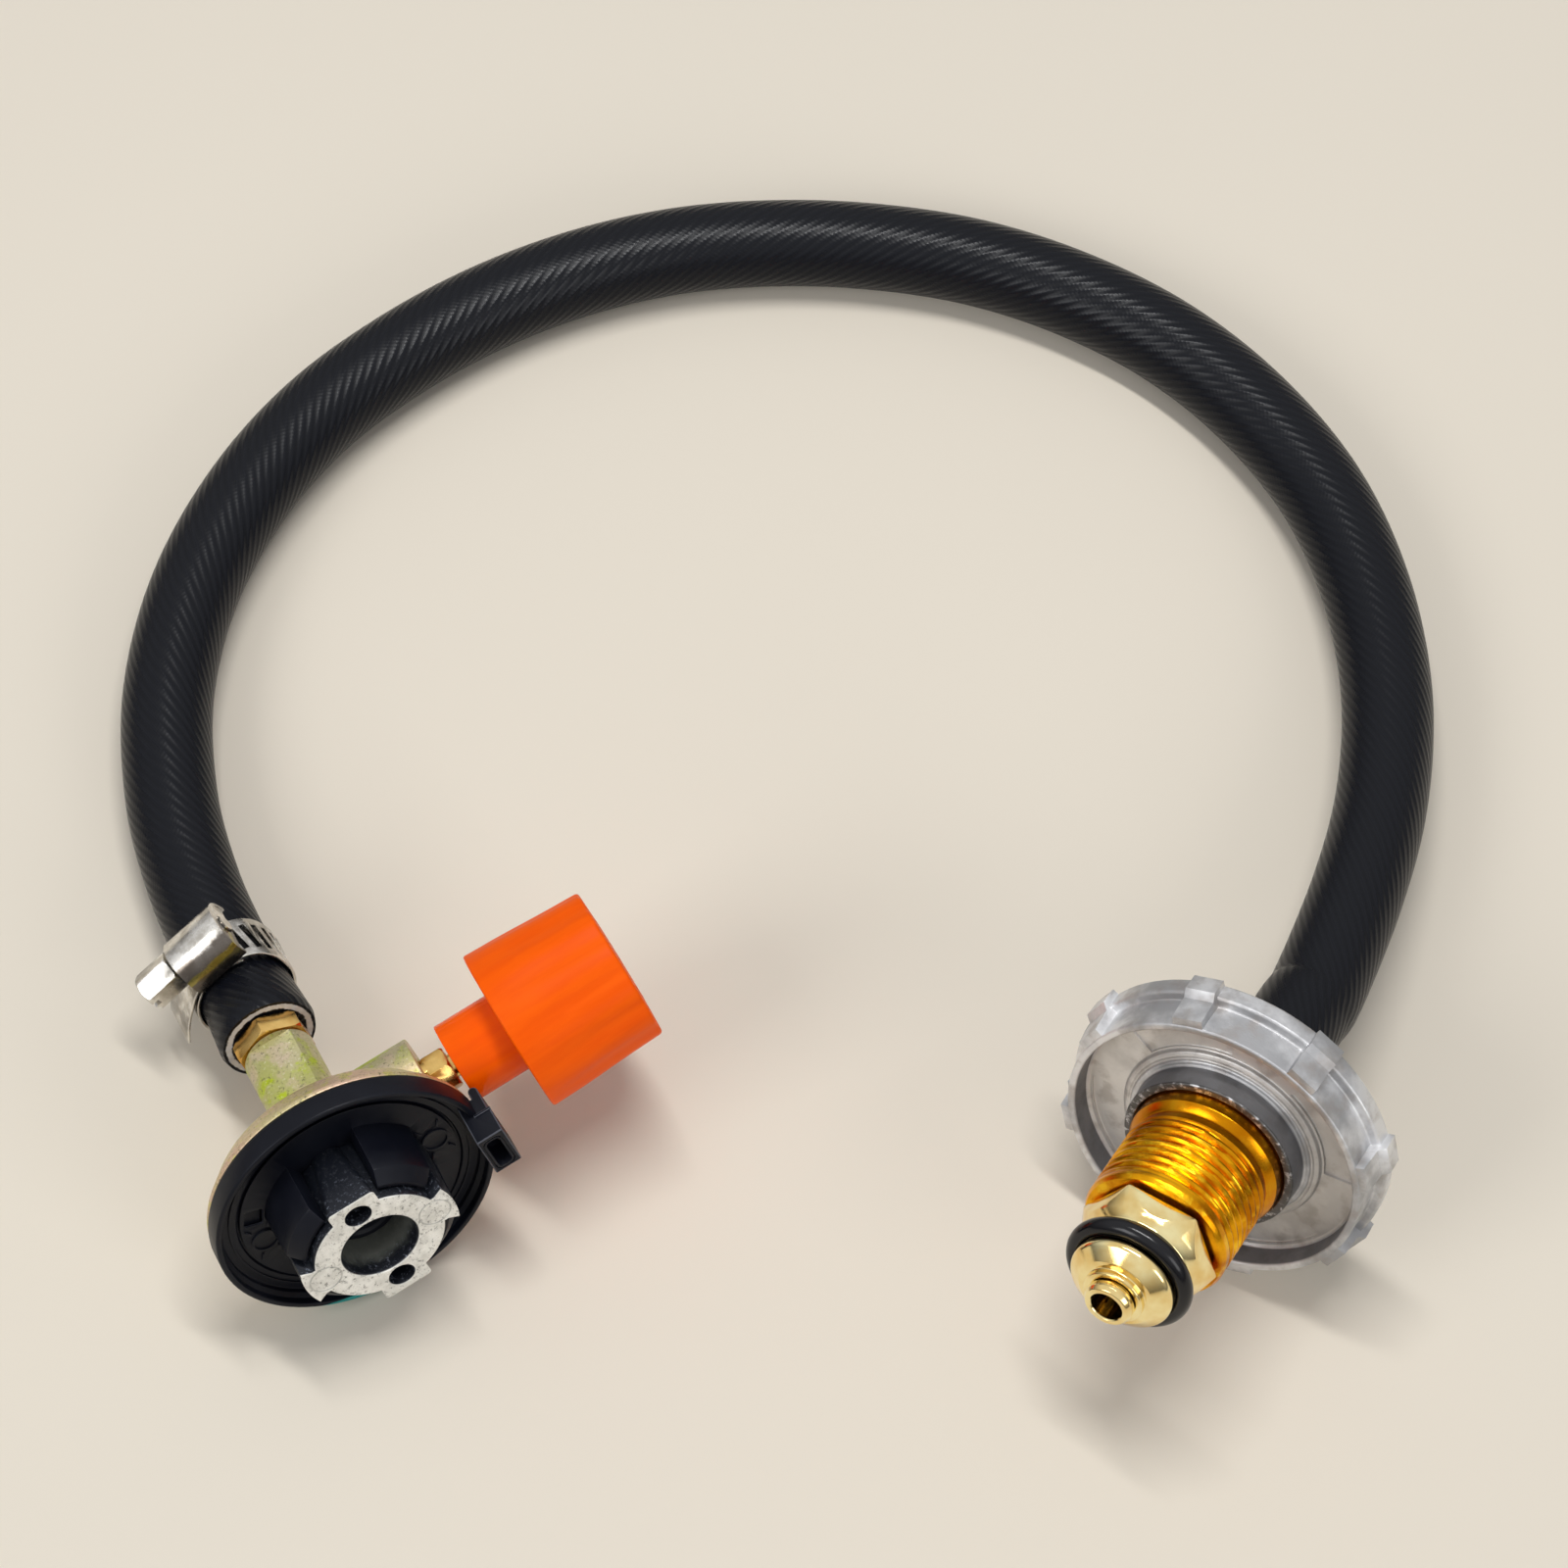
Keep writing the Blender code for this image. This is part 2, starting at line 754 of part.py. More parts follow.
def make_hose_barb(head, brass):
    hex_back = -neck_end - fit_gap
    hex_front = hex_back - barb_hex_length
    stem = [
        (radius, -height)
        for radius, height in ridged(
            barb_start + fit_gap, barb_ridge_pitch, barb_ridges, barb_stem_r, barb_ridge_r
        )
    ]
    profile = [
        (barb_bore_r, -neck_end + barb_socket_depth - fit_gap),
        (barb_socket_r - fit_gap, -neck_end + barb_socket_depth - fit_gap),
        (barb_socket_r - fit_gap, hex_back),
        (barb_hex_across / 2 - fit_gap, hex_back),
        (barb_hex_across / 2 - fit_gap, hex_front),
        *stem,
        (barb_bore_r, stem[-1][1]),
    ]
    barb = place("hose_barb", turned(profile, small_steps), brass, head)
    combine(barb, "UNION", "hexagon", hexagon(barb_hex_across, hex_front, hex_back))
    way = rod(barb_bore_r, stem[-1][1] - fit_gap, -neck_end + barb_socket_depth)
    combine(barb, "DIFFERENCE", "bore", way)


# ================================================================ hose clamp
def band_radius(angle):
    """Middle radius of the band's strip along its turn, from its inner end to its free tail."""
    low = band_inner_r + band_thickness / 2
    high = low + band_thickness + band_layer_gap
    climb_from = 2 * math.pi
    climb_to = 2 * math.pi + band_inner_end - math.radians(12)
    leaves = 3 * math.pi - math.radians(45)
    if angle <= climb_from:
        return low
    if angle <= climb_to:
        part = (angle - climb_from) / (climb_to - climb_from)
        return low + (high - low) * (3 * part**2 - 2 * part**3)
    if angle <= leaves:
        return high
    return high + band_tail_rise * ((angle - leaves) / (band_tail_end - leaves)) ** 2


def make_clamp_band(clamp, steel):
    steps = 52
    span = band_tail_end - band_inner_end
    angles = [band_inner_end + span * step / steps for step in range(steps + 1)]
    outer = []
    inner = []
    for angle in angles:
        middle = band_radius(angle)
        for side, line in ((1, outer), (-1, inner)):
            radius = middle + side * band_thickness / 2
            line.append((radius * math.cos(angle), radius * math.sin(angle)))
    strip = plate(outer + inner[::-1], -band_width / 2, band_width / 2)
    place("clamp_band", strip, steel, clamp)


def make_clamp_housing(saddle, steel):
    """A half-round saddle round the worm's axis, with its two feet beside the band."""
    base = -worm_r
    foot = base - 2 * fit_gap
    turns = [math.pi * step / 8 for step in range(9)]
    arch = [(housing_r * math.cos(turn), base + housing_r * math.sin(turn)) for turn in turns]
    within = housing_r - housing_wall
    hollow = [(within * math.cos(turn), base + within * math.sin(turn)) for turn in turns]
    outline = [(housing_r, foot), *arch, (-housing_r, foot), (-within, foot)]
    outline += [*hollow[::-1], (within, foot)]
    on_side = Matrix.Rotation(math.pi / 2, 4, "Y")
    shell = moved(plate(outline, -housing_length / 2, housing_length / 2), on_side)
    housing = place("clamp_housing", shell, steel, saddle)

    # Each end wall stands a little inside the shell's end, and its rim is sunk in the shell.
    rim = housing_r - housing_wall / 2
    low = base + fit_gap / 3
    wall = [(rim * math.cos(turn), low + rim * math.sin(turn)) for turn in turns]
    for index, side in enumerate((-1, 1)):
        outer = side * (housing_length - fit_gap) / 2
        ends = sorted((outer, outer - side * housing_wall))
        combine(housing, "UNION", "end_%d" % index, moved(plate(wall, *ends), on_side))
    way = moved(rod(journal_r + fit_gap, -housing_length, housing_length), on_side)
    combine(housing, "DIFFERENCE", "screw_way", way)


def make_clamp_screw(axis, steel):
    """The worm, its journals, its collar and its slotted hexagon, along Z."""
    inside = housing_length / 2 - housing_wall - fit_gap
    pitch = 2 * inside / worm_ridges
    worm = []
    for index in range(worm_ridges):
        low = -inside + index * pitch
        worm += [(journal_r, low), (worm_r, low + pitch / 4), (worm_r, low + pitch / 2)]
    collar_low = housing_length / 2 + clamp_collar_stand
    head_low = collar_low + clamp_collar_thickness
    profile = [
        (0.0, -housing_length / 2 - fit_gap),
        (journal_r, -housing_length / 2 - fit_gap),
        *worm,
        (journal_r, inside),
        (journal_r, collar_low),
        (clamp_collar_r, collar_low),
        (clamp_collar_r, head_low),
        (0.0, head_low),
    ]
    screw = place("clamp_screw", turned(profile, fine_steps), steel, axis)
    head_high = head_low + clamp_head_length
    overlap = clamp_collar_thickness / 2
    combine(screw, "UNION", "head", hexagon(clamp_head_across, head_low - overlap, head_high))
    slot = block(
        (2 * clamp_head_across, clamp_head_slot, 2 * clamp_head_slot_depth),
        (0, 0, head_high),
    )
    combine(screw, "DIFFERENCE", "slot", slot)


# ================================================================ cylinder fitting
def make_handwheel(fitting, zinc):
    bore = nut_collar_r + fit_gap
    rim_inside = wheel_rim_r - wheel_rim_wall
    step = -wheel_back + wheel_flange_width
    profile = [
        (bore, -hub_back),
        (hub_bead_r - wheel_rim_wall / 2, -hub_back),
        (hub_bead_r, -wheel_web),
        (rim_inside - wheel_rim_wall / 2, -wheel_web),
        (rim_inside, -wheel_back),
        (wheel_flange_r - wheel_rim_wall / 4, -wheel_back),
        (wheel_flange_r, -wheel_back + wheel_rim_wall / 4),
        (wheel_flange_r, step),
        (wheel_rim_r, step),
        (wheel_rim_r, wheel_lip),
        (rim_inside, wheel_lip),
        (rim_inside - wheel_rim_wall / 8, wheel_rim_wall / 2),
        (rim_inside - wheel_rim_wall / 2, 0.0),
        (hub_bead_r, 0.0),
        (hub_bead_r, hub_bead_height / 2),
        (hub_bead_r - hub_bead_height / 2, hub_bead_height),
        (hub_sleeve_r, hub_bead_height),
        (hub_sleeve_r, hub_sleeve_reach),
        (bore, hub_sleeve_reach),
    ]
    wheel = place("handwheel", turned(profile, wide_steps), zinc, fitting)
    grips = []
    for index in range(grip_count):
        root = rim_inside + wheel_rim_wall / 2
        grip = block(
            (grip_reach - root, grip_width, wheel_lip + wheel_back),
            ((grip_reach + root) / 2, 0, (wheel_lip - wheel_back) / 2),
        )
        turn = Matrix.Rotation(2 * math.pi * (index + 0.5) / grip_count, 4, "Z")
        grips.append(moved(grip, turn))
    combine(wheel, "UNION", "grips", gather(grips))


def make_pol_nut(fitting, gold):
    bore = nipple_shank_r + fit_gap
    root = nut_thread_r - nut_thread_depth
    thread = []
    for index in range(nut_thread_turns):
        low = nut_thread_start + index * nut_thread_pitch
        thread.append((root, low + nut_thread_pitch / 4))
        thread.append((nut_thread_r, low + nut_thread_pitch * 3 / 4))
    thread_end = nut_thread_start + (nut_thread_turns + 0.25) * nut_thread_pitch
    profile = [
        (bore, -hub_back),
        (nut_collar_r, -hub_back),
        (nut_collar_r, nut_thread_start - nut_thread_depth),
        *thread,
        (root, thread_end),
        (nut_lead_r, nut_front - nut_lead_length),
        (nut_lead_r - nut_lead_length / 3, nut_front),
        (bore, nut_front),
    ]
    place("pol_nut", turned(profile, middle_steps), gold, fitting)


def make_pol_nipple(fitting, gold):
    hex_front = nipple_hex_back + nipple_hex_length
    groove_front = nipple_groove_back + nipple_groove_width
    step_back = nipple_nose_end - nipple_step_length
    tail = [
        (radius, -height)
        for radius, height in ridged(
            hose_end_depth + fit_gap, barb_ridge_pitch, barb_ridges, barb_stem_r, barb_ridge_r
        )
    ][::-1]
    profile = [
        (barb_bore_r, tail[0][1]),
        *tail,
        (nipple_waist_r, -hose_end_depth + fit_gap),
        (nipple_waist_r, -ferrule_front + fit_gap),
        (nipple_shank_r, -ferrule_front + fit_gap),
        (nipple_shank_r, nipple_hex_back),
        (nipple_land_r, nipple_hex_back),
        (nipple_land_r, nipple_groove_back),
        (nipple_groove_r, nipple_groove_back),
        (nipple_groove_r, groove_front),
        (nipple_nose_r, groove_front),
        (nipple_nose_r, step_back - nipple_crown_length),
        (nipple_crown_r, step_back),
        (nipple_step_r, step_back),
        (nipple_step_r, nipple_nose_end),
        (chamber_r, nipple_nose_end),
        (chamber_r, chamber_floor),
        (barb_bore_r, chamber_floor - chamber_r + barb_bore_r),
    ]
    nipple = place("pol_nipple", turned(profile, middle_steps), gold, fitting)
    corner = nipple_hex_across / 2 / math.cos(math.pi / 6)
    flats = combine(
        nipple, "UNION", "hexagon", hexagon(nipple_hex_across, nipple_hex_back, hex_front)
    )
    cone_low = nipple_hex_back + nipple_hex_length / 3
    cone = [
        (0.0, nipple_hex_back - fit_gap),
        (corner + fit_gap, nipple_hex_back - fit_gap),
        (corner + fit_gap, cone_low),
        (nipple_land_r - fit_gap, hex_front + fit_gap),
        (0.0, hex_front + fit_gap),
    ]
    combine(flats, "INTERSECT", "chamfer", turned(cone, middle_steps))
    combine(flats, "DIFFERENCE", "core", rod(nipple_shank_r, 0.0, 2 * hex_front))


def make_fitting_parts(fitting, gold, rubber, steel):
    groove_middle = nipple_groove_back + nipple_groove_width / 2
    ring_r_middle = nipple_groove_r + fit_gap + ring_tube_r
    circle = [2 * math.pi * step / 8 for step in range(8)]
    section = [
        (
            ring_r_middle + ring_tube_r * math.cos(turn),
            groove_middle + ring_tube_r * math.sin(turn),
        )
        for turn in circle
    ]
    place("pol_o_ring", turned(section, middle_steps), rubber, fitting)
    plug_r = chamber_r - fit_gap
    shoulder = nipple_nose_end + fit_gap
    bush = [
        (bush_hole_r, shoulder - bush_plug_length),
        (plug_r, shoulder - bush_plug_length),
        (plug_r, shoulder),
        (bush_tip_r, shoulder),
        (bush_tip_r, shoulder + bush_tip_length / 2),
        (bush_tip_r - bush_tip_length / 4, shoulder + bush_tip_length),
        (bush_hole_r, shoulder + bush_tip_length),
    ]
    place("nose_bush", turned(bush, small_steps), gold, fitting)
    ball = bmesh.new()
    bmesh.ops.create_icosphere(ball, subdivisions=2, radius=ball_r)
    ball_at = chamber_floor - chamber_r + math.sqrt(2) * (ball_r + fit_gap)
    axis = empty("ball_axis", Matrix.Translation((0, 0, ball_at)), fitting)
    place("check_ball", ball, steel, axis)


def make_ferrule(fitting, steel):
    inner = hose_outer_r + fit_gap
    outer = inner + ferrule_wall
    crimps = []
    for index in range(ferrule_crimps):
        middle = -(ferrule_front + ferrule_front_wall + ferrule_crimp_pitch * (index + 0.8))
        quarter = ferrule_crimp_pitch / 4
        crimps += [(outer, middle + quarter), (outer - ferrule_crimp_depth, middle + quarter / 2)]
        crimps += [(outer - ferrule_crimp_depth, middle - quarter / 2), (outer, middle - quarter)]
    profile = [
        (nipple_waist_r + fit_gap, -ferrule_front),
        (outer - ferrule_wall / 3, -ferrule_front),
        (outer, -ferrule_front - ferrule_wall / 3),
        *crimps,
        (outer, -ferrule_mouth),
        (inner, -ferrule_mouth),
        (inner, -ferrule_front - ferrule_front_wall),
        (nipple_waist_r + fit_gap, -ferrule_front - ferrule_front_wall),
    ]
    place("ferrule", turned(profile, small_steps), steel, fitting)


# ================================================================ hose
def smooth_line(route, parts):
    """Points of a Catmull-Rom curve through the route, evenly shared out in each span."""
    knots = [Vector(point) for point in route]
    ends = [2 * knots[0] - knots[1], *knots, 2 * knots[-1] - knots[-2]]
    line = []
    for a, b, c, d in zip(ends, ends[1:], ends[2:], ends[3:]):
        for step in range(parts):
            t = step / parts
            point = 2 * b + (c - a) * t + (2 * a - 5 * b + 4 * c - d) * t**2
            line.append((point + (3 * b - a - 3 * c + d) * t**3) / 2)
    line.append(knots[-1])
    return line


def make_hose(head, fitting, rubber):
    from_head = [head.matrix_world @ Vector((0, 0, -far)) for far in hose_straight_at_head]
    depths = (*hose_straight_at_fitting, hose_end_depth)
    to_fitting = [fitting.matrix_world @ Vector((0, 0, -far)) for far in depths]
    line = smooth_line([*from_head, *hose_route, *to_fitting], hose_points_per_span)
    curve = bpy.data.curves.new("hose", "CURVE")
    curve.dimensions = "3D"
    curve.bevel_depth = hose_outer_r
    curve.bevel_resolution = hose_sides_resolution
    curve.use_fill_caps = False
    curve.materials.append(rubber)
    spline = curve.splines.new("POLY")
    spline.points.add(len(line) - 1)
    run = 0.0
    for index, point in enumerate(line):
        if index:
            run += (point - line[index - 1]).length
        spline.points[index].co = (*point, 1.0)
        spline.points[index].radius = 1 + hose_flare * max(0.0, 1 - run / hose_flare_length)
    hose = bpy.data.objects.new("hose", curve)
    bpy.context.scene.collection.objects.link(hose)
    wall = hose.modifiers.new("wall", "SOLIDIFY")
    wall.thickness = hose_wall
    wall.offset = -1.0


# ================================================================ assembly
def build():
    clear_scene()
    zinc_yellow = finish("zinc_yellow", (0.56, 0.50, 0.22), 0.9, 0.38)
    zinc = finish("zinc", (0.62, 0.62, 0.60), 0.9, 0.42)
    black = finish("black_plastic", (0.012, 0.013, 0.018), 0.0, 0.42)
    orange = finish("orange_plastic", (0.95, 0.10, 0.004), 0.0, 0.35)
    brass = finish("brass", (0.75, 0.50, 0.16), 1.0, 0.25)
    amber = finish("amber_gold", (0.80, 0.42, 0.03), 1.0, 0.25)
    gold = finish("pale_gold", (0.88, 0.70, 0.30), 1.0, 0.16)
    steel = finish("bright_steel", (0.70, 0.69, 0.66), 1.0, 0.22)
    bronze = finish("sintered_bronze", (0.50, 0.34, 0.18), 0.8, 0.7)
    rubber = finish("black_rubber", (0.010, 0.010, 0.012), 0.0, 0.5)

    head = empty("head", lying(head_place, head_height, head_yaw, head_pitch, head_roll))
    along_spindle = Matrix.Translation((0, 0, -spindle_offset)) @ Matrix.Rotation(math.pi / 2, 4, "Y")
    spindle_axis = empty("spindle_axis", along_spindle, head)
    make_valve_body(head, spindle_axis, zinc_yellow)
    make_centre_boss(head, zinc)
    make_boss_screws(head, steel)
    make_guide_collar(head, black)
    make_lock_ring(head, black)
    make_inlet_parts(head, brass, rubber, bronze)
    make_spindle_set(spindle_axis, brass, rubber, orange)
    make_hose_barb(head, brass)

    round_hose = Matrix.Translation((0, 0, -clamp_place)) @ Matrix.Rotation(clamp_turn, 4, "Z")
    clamp = empty("clamp", round_hose, head)
    make_clamp_band(clamp, steel)
    tilted = Matrix.Translation((0, screw_height, 0)) @ Matrix.Rotation(saddle_tilt, 4, "Z")
    saddle = empty("saddle", tilted, clamp)
    make_clamp_housing(saddle, steel)
    screw_axis = empty("clamp_screw_axis", Matrix.Rotation(-math.pi / 2, 4, "Y"), saddle)
    make_clamp_screw(screw_axis, steel)

    fitting = empty(
        "fitting", lying(fitting_place, fitting_height, fitting_yaw, fitting_pitch, 0.0)
    )
    make_handwheel(fitting, zinc)
    make_pol_nut(fitting, amber)
    make_pol_nipple(fitting, gold)
    make_fitting_parts(fitting, gold, rubber, steel)
    make_ferrule(fitting, steel)
    bpy.context.view_layer.update()
    make_hose(head, fitting, rubber)


build()
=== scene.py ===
"""Looks for the gas adapter hose: fine shapes, materials, light and camera.

Every new piece but the hose is drawn in millimetres in a frame of its own, and is then laid in
place. At either end of the hose the frame's +Z runs out of that end's mouth. The mesh keeps the
drawn coordinates in an attribute, so that a material can follow the piece's own axis. For the
hose they are its run, its turn and its radius.
"""

import math

import bmesh
import bpy
from mathutils import Matrix, Vector


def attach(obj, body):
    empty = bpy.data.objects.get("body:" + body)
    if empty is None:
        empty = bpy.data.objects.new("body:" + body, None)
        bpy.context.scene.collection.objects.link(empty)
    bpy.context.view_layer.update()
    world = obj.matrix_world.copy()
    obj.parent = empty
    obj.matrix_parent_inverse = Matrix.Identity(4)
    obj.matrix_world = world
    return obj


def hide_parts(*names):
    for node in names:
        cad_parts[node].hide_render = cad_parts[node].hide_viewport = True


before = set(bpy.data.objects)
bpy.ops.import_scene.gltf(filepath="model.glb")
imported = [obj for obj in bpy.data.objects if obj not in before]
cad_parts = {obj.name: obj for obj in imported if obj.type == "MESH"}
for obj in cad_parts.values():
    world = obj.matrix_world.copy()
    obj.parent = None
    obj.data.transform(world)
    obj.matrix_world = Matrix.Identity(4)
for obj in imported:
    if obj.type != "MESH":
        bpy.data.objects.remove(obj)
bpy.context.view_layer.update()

TURN = 2 * math.pi
AROUND = 96


# ================================================================ frames of the pieces
def lying(x, y, height, yaw, pitch, roll):
    """The frame of an end, in millimetres: +Z runs out of its mouth, tipped up by the pitch."""
    turn = Matrix.Rotation(math.radians(yaw), 4, "Z")
    turn = turn @ Matrix.Rotation(math.radians(90 - pitch), 4, "X")
    turn = turn @ Matrix.Rotation(math.radians(roll), 4, "Z")
    return Matrix.Translation((x, y, height)) @ turn @ Matrix.Scale(0.001, 4)


def shifted(x, y, z):
    return Matrix.Translation((x, y, z))


def spun(angle, axis):
    return Matrix.Rotation(math.radians(angle), 4, axis)


# Driving sizes, in millimetres. Heights run along each frame's own +Z.
SPINDLE_HEIGHT = -12.4
CLAMP_HEIGHT = -49.0
WORM_REACH = 11.05
PLATE_R = 21.5
PLATE_FRONT = -3.9
RING_R = 21.75
SCREW_REACH = 8.6
SCREW_HOLE_R = 1.35
BOSS_BACK = -3.6
BOSS_FACE = 9.1
GAS_BORE_R = 1.8
SPINDLE_BORE_R = 2.2
KNOB_START = 22.4
KNOB_SHOULDER = 31.5
HUB_BACK = -5.2
NUT_FRONT = 23.5
BARB_ROOT_R = 3.0
BARB_R = 3.5

HEAD = lying(-0.05765, -0.01309, 0.022718, 26.4, 14.5, 12.4)
ALONG_SPINDLE = shifted(0, 0, SPINDLE_HEIGHT) @ spun(90, "Y")
SPINDLE = HEAD @ ALONG_SPINDLE
CLAMP = HEAD @ shifted(0, 0, CLAMP_HEIGHT) @ spun(7, "Z")
SADDLE = CLAMP @ shifted(0, WORM_REACH, 0) @ spun(9, "Z")
CLAMP_SCREW = SADDLE @ spun(-90, "Y")
FITTING = lying(0.06876, -0.00316, 0.025327, -30.5, 16.0, 0.0)


# ================================================================ shapes
def outline(points, steps=4):
    """A line of (x, y) points. A third number rounds that corner with a fillet of its radius."""
    flat = []
    count = len(points)
    for index, point in enumerate(points):
        here = Vector(point[:2])
        radius = point[2] if len(point) > 2 else 0.0
        if not radius or index in (0, count - 1):
            flat.append(here)
            continue
        before = (Vector(points[index - 1][:2]) - here).normalized()
        after = (Vector(points[index + 1][:2]) - here).normalized()
        half = before.angle(after) / 2
        reach = radius / math.tan(half)
        centre = here + (before + after).normalized() * radius / math.sin(half)
        start, end = here + before * reach, here + after * reach
        sweep = (start - centre).angle_signed(end - centre)
        for step in range(steps + 1):
            turn = Matrix.Rotation(-sweep * step / steps, 2)
            flat.append(centre + turn @ (start - centre))
    return flat


def turned(profile, steps=None, angle=TURN, start=0.0):
    """Spins a line of (radius, height) points about Z into a solid or a closed ring."""
    shape = bmesh.new()
    line = [tuple(point) for point in profile]
    on_axis = line[0][0] < 1e-6 and line[-1][0] < 1e-6
    points = [shape.verts.new((radius, 0.0, height)) for radius, height in line]
    edges = [shape.edges.new(pair) for pair in zip(points, points[1:])]
    if not on_axis:
        edges.append(shape.edges.new((points[-1], points[0])))
    bmesh.ops.rotate(shape, verts=points, cent=(0, 0, 0), matrix=Matrix.Rotation(start, 3, "Z"))
    whole = math.isclose(angle, TURN)
    bmesh.ops.spin(
        shape, geom=points + edges, cent=(0, 0, 0), axis=(0, 0, 1), dvec=(0, 0, 0),
        angle=angle, steps=steps or AROUND, use_merge=whole, use_duplicate=False,
    )
    bmesh.ops.remove_doubles(shape, verts=shape.verts, dist=0.0005)
    loose = [edge for edge in shape.edges if not edge.link_faces]
    bmesh.ops.delete(shape, geom=loose, context="EDGES")
    if not whole:
        rims = [edge for edge in shape.edges if edge.is_boundary]
        bmesh.ops.holes_fill(shape, edges=rims, sides=0)
    bmesh.ops.recalc_face_normals(shape, faces=shape.faces)
    return shape


def plate(points, low, high):
    """Extrudes a closed outline in XY from one height to another."""
    shape = bmesh.new()
    face = shape.faces.new([shape.verts.new((x, y, low)) for x, y in points])
    grown = bmesh.ops.extrude_face_region(shape, geom=[face])
    lifted = [part for part in grown["geom"] if isinstance(part, bmesh.types.BMVert)]
    bmesh.ops.translate(shape, vec=(0, 0, high - low), verts=lifted)
    bmesh.ops.recalc_face_normals(shape, faces=shape.faces)
    return shape


def rounded(left, right, low, high, radius):
    """The outline of a rectangle with rounded corners."""
    line = [(left, low), (right, low), (right, high), (left, high)]
    loop = outline([line[3], *[(*corner, radius) for corner in line], line[0]])
    return loop[1:-1]


def tapered(lower, upper, low, high):
    """A solid between two outlines of as many points, one at each height."""
    shape = plate(lower, low, high)
    shape.verts.ensure_lookup_table()
    feet = list(shape.verts)[:len(lower)]
    for foot, (x, y) in zip(feet, upper):
        top = next(edge.other_vert(foot) for edge in foot.link_edges
                   if edge.other_vert(foot).co.z > foot.co.z)
        top.co.x, top.co.y = x, y
    return shape


def rod(radius, low, high, at=(0.0, 0.0), steps=None):
    shape = bmesh.new()
    bmesh.ops.create_cone(
        shape, cap_ends=True, segments=steps or AROUND // 2, radius1=radius, radius2=radius,
        depth=high - low, matrix=shifted(*at, (low + high) / 2),
    )
    return shape


def chamfered_hexagon(corner, low, high, cone, angle=0, steps=48):
    """A hexagon whose corners are cut back to a turned outline."""
    prism = moved(rod(corner, low, high, steps=6), spun(angle, "Z"))
    return carved(prism, ("INTERSECT", turned(cone, steps)))


def block(low, high):
    shape = bmesh.new()
    bmesh.ops.create_cube(shape, size=1.0)
    middle = [(a + b) / 2 for a, b in zip(low, high)]
    bmesh.ops.scale(shape, vec=[b - a for a, b in zip(low, high)], verts=shape.verts)
    bmesh.ops.translate(shape, vec=middle, verts=shape.verts)
    return shape


def moved(shape, matrix):
    bmesh.ops.transform(shape, matrix=matrix, verts=shape.verts)
    return shape


def carved(shape, *steps):
    """The shape after Boolean steps, each an operation's name and another shape."""
    holders = []
    for index, part in enumerate([shape] + [other for _, other in steps]):
        mesh = bpy.data.meshes.new("carving_%d" % index)
        part.to_mesh(mesh)
        part.free()
        holder = bpy.data.objects.new(mesh.name, mesh)
        bpy.context.scene.collection.objects.link(holder)
        holders.append(holder)
    for (operation, _), holder in zip(steps, holders[1:]):
        step = holders[0].modifiers.new(holder.name, "BOOLEAN")
        step.operation = operation
        step.solver = "EXACT"
        step.object = holder
    seen = holders[0].evaluated_get(bpy.context.evaluated_depsgraph_get())
    result = bmesh.new()
    result.from_mesh(seen.to_mesh())
    seen.to_mesh_clear()
    for holder in holders:
        mesh = holder.data
        bpy.data.objects.remove(holder)
        bpy.data.meshes.remove(mesh)
    bmesh.ops.remove_doubles(result, verts=result.verts, dist=0.002)
    bmesh.ops.dissolve_degenerate(result, edges=result.edges, dist=0.002)
    return result


def softened(shape, width, segments=2, sharper_than=38):
    """Rounds the sharp edges. It marks outer ones with 1, which materials brighten as painted
    highlight and wear, and inner ones with -1, which they darken as painted shade.
    """
    mark = shape.loops.layers.float.get("edge") or shape.loops.layers.float.new("edge")
    limit = math.radians(sharper_than)
    for side in (1, -1):
        picked = [
            edge for edge in shape.edges
            if len(edge.link_faces) == 2 and edge.calc_face_angle_signed(0.0) * side > limit
        ]
        made = bmesh.ops.bevel(
            shape, geom=picked, offset=width, offset_type="OFFSET", segments=segments,
            profile=0.5, affect="EDGES", clamp_overlap=True, material=-1,
        )
        for face in made["faces"]:
            for corner in face.loops:
                corner[mark] = side
    return shape


def finished(name, shape, look, body, node, smooth):
    """Makes a shape in place a piece that rides on a body and stands for a node."""
    mesh = bpy.data.meshes.new(name)
    shape.to_mesh(mesh)
    shape.free()
    mesh.shade_smooth()
    mesh.set_sharp_from_angle(angle=math.radians(smooth))
    mesh.materials.append(look)
    piece = bpy.data.objects.new(name, mesh)
    bpy.context.scene.collection.objects.link(piece)
    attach(piece, body)
    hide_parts(node)
    return piece


def placed(name, shape, matrix, look, body, node, smooth=35):
    """Lays a drawn shape in place and finishes it."""
    drawn = shape.verts.layers.float_vector.new("drawn")
    for point in shape.verts:
        point[drawn] = point.co
    return finished(name, moved(shape, matrix), look, body, node, smooth)


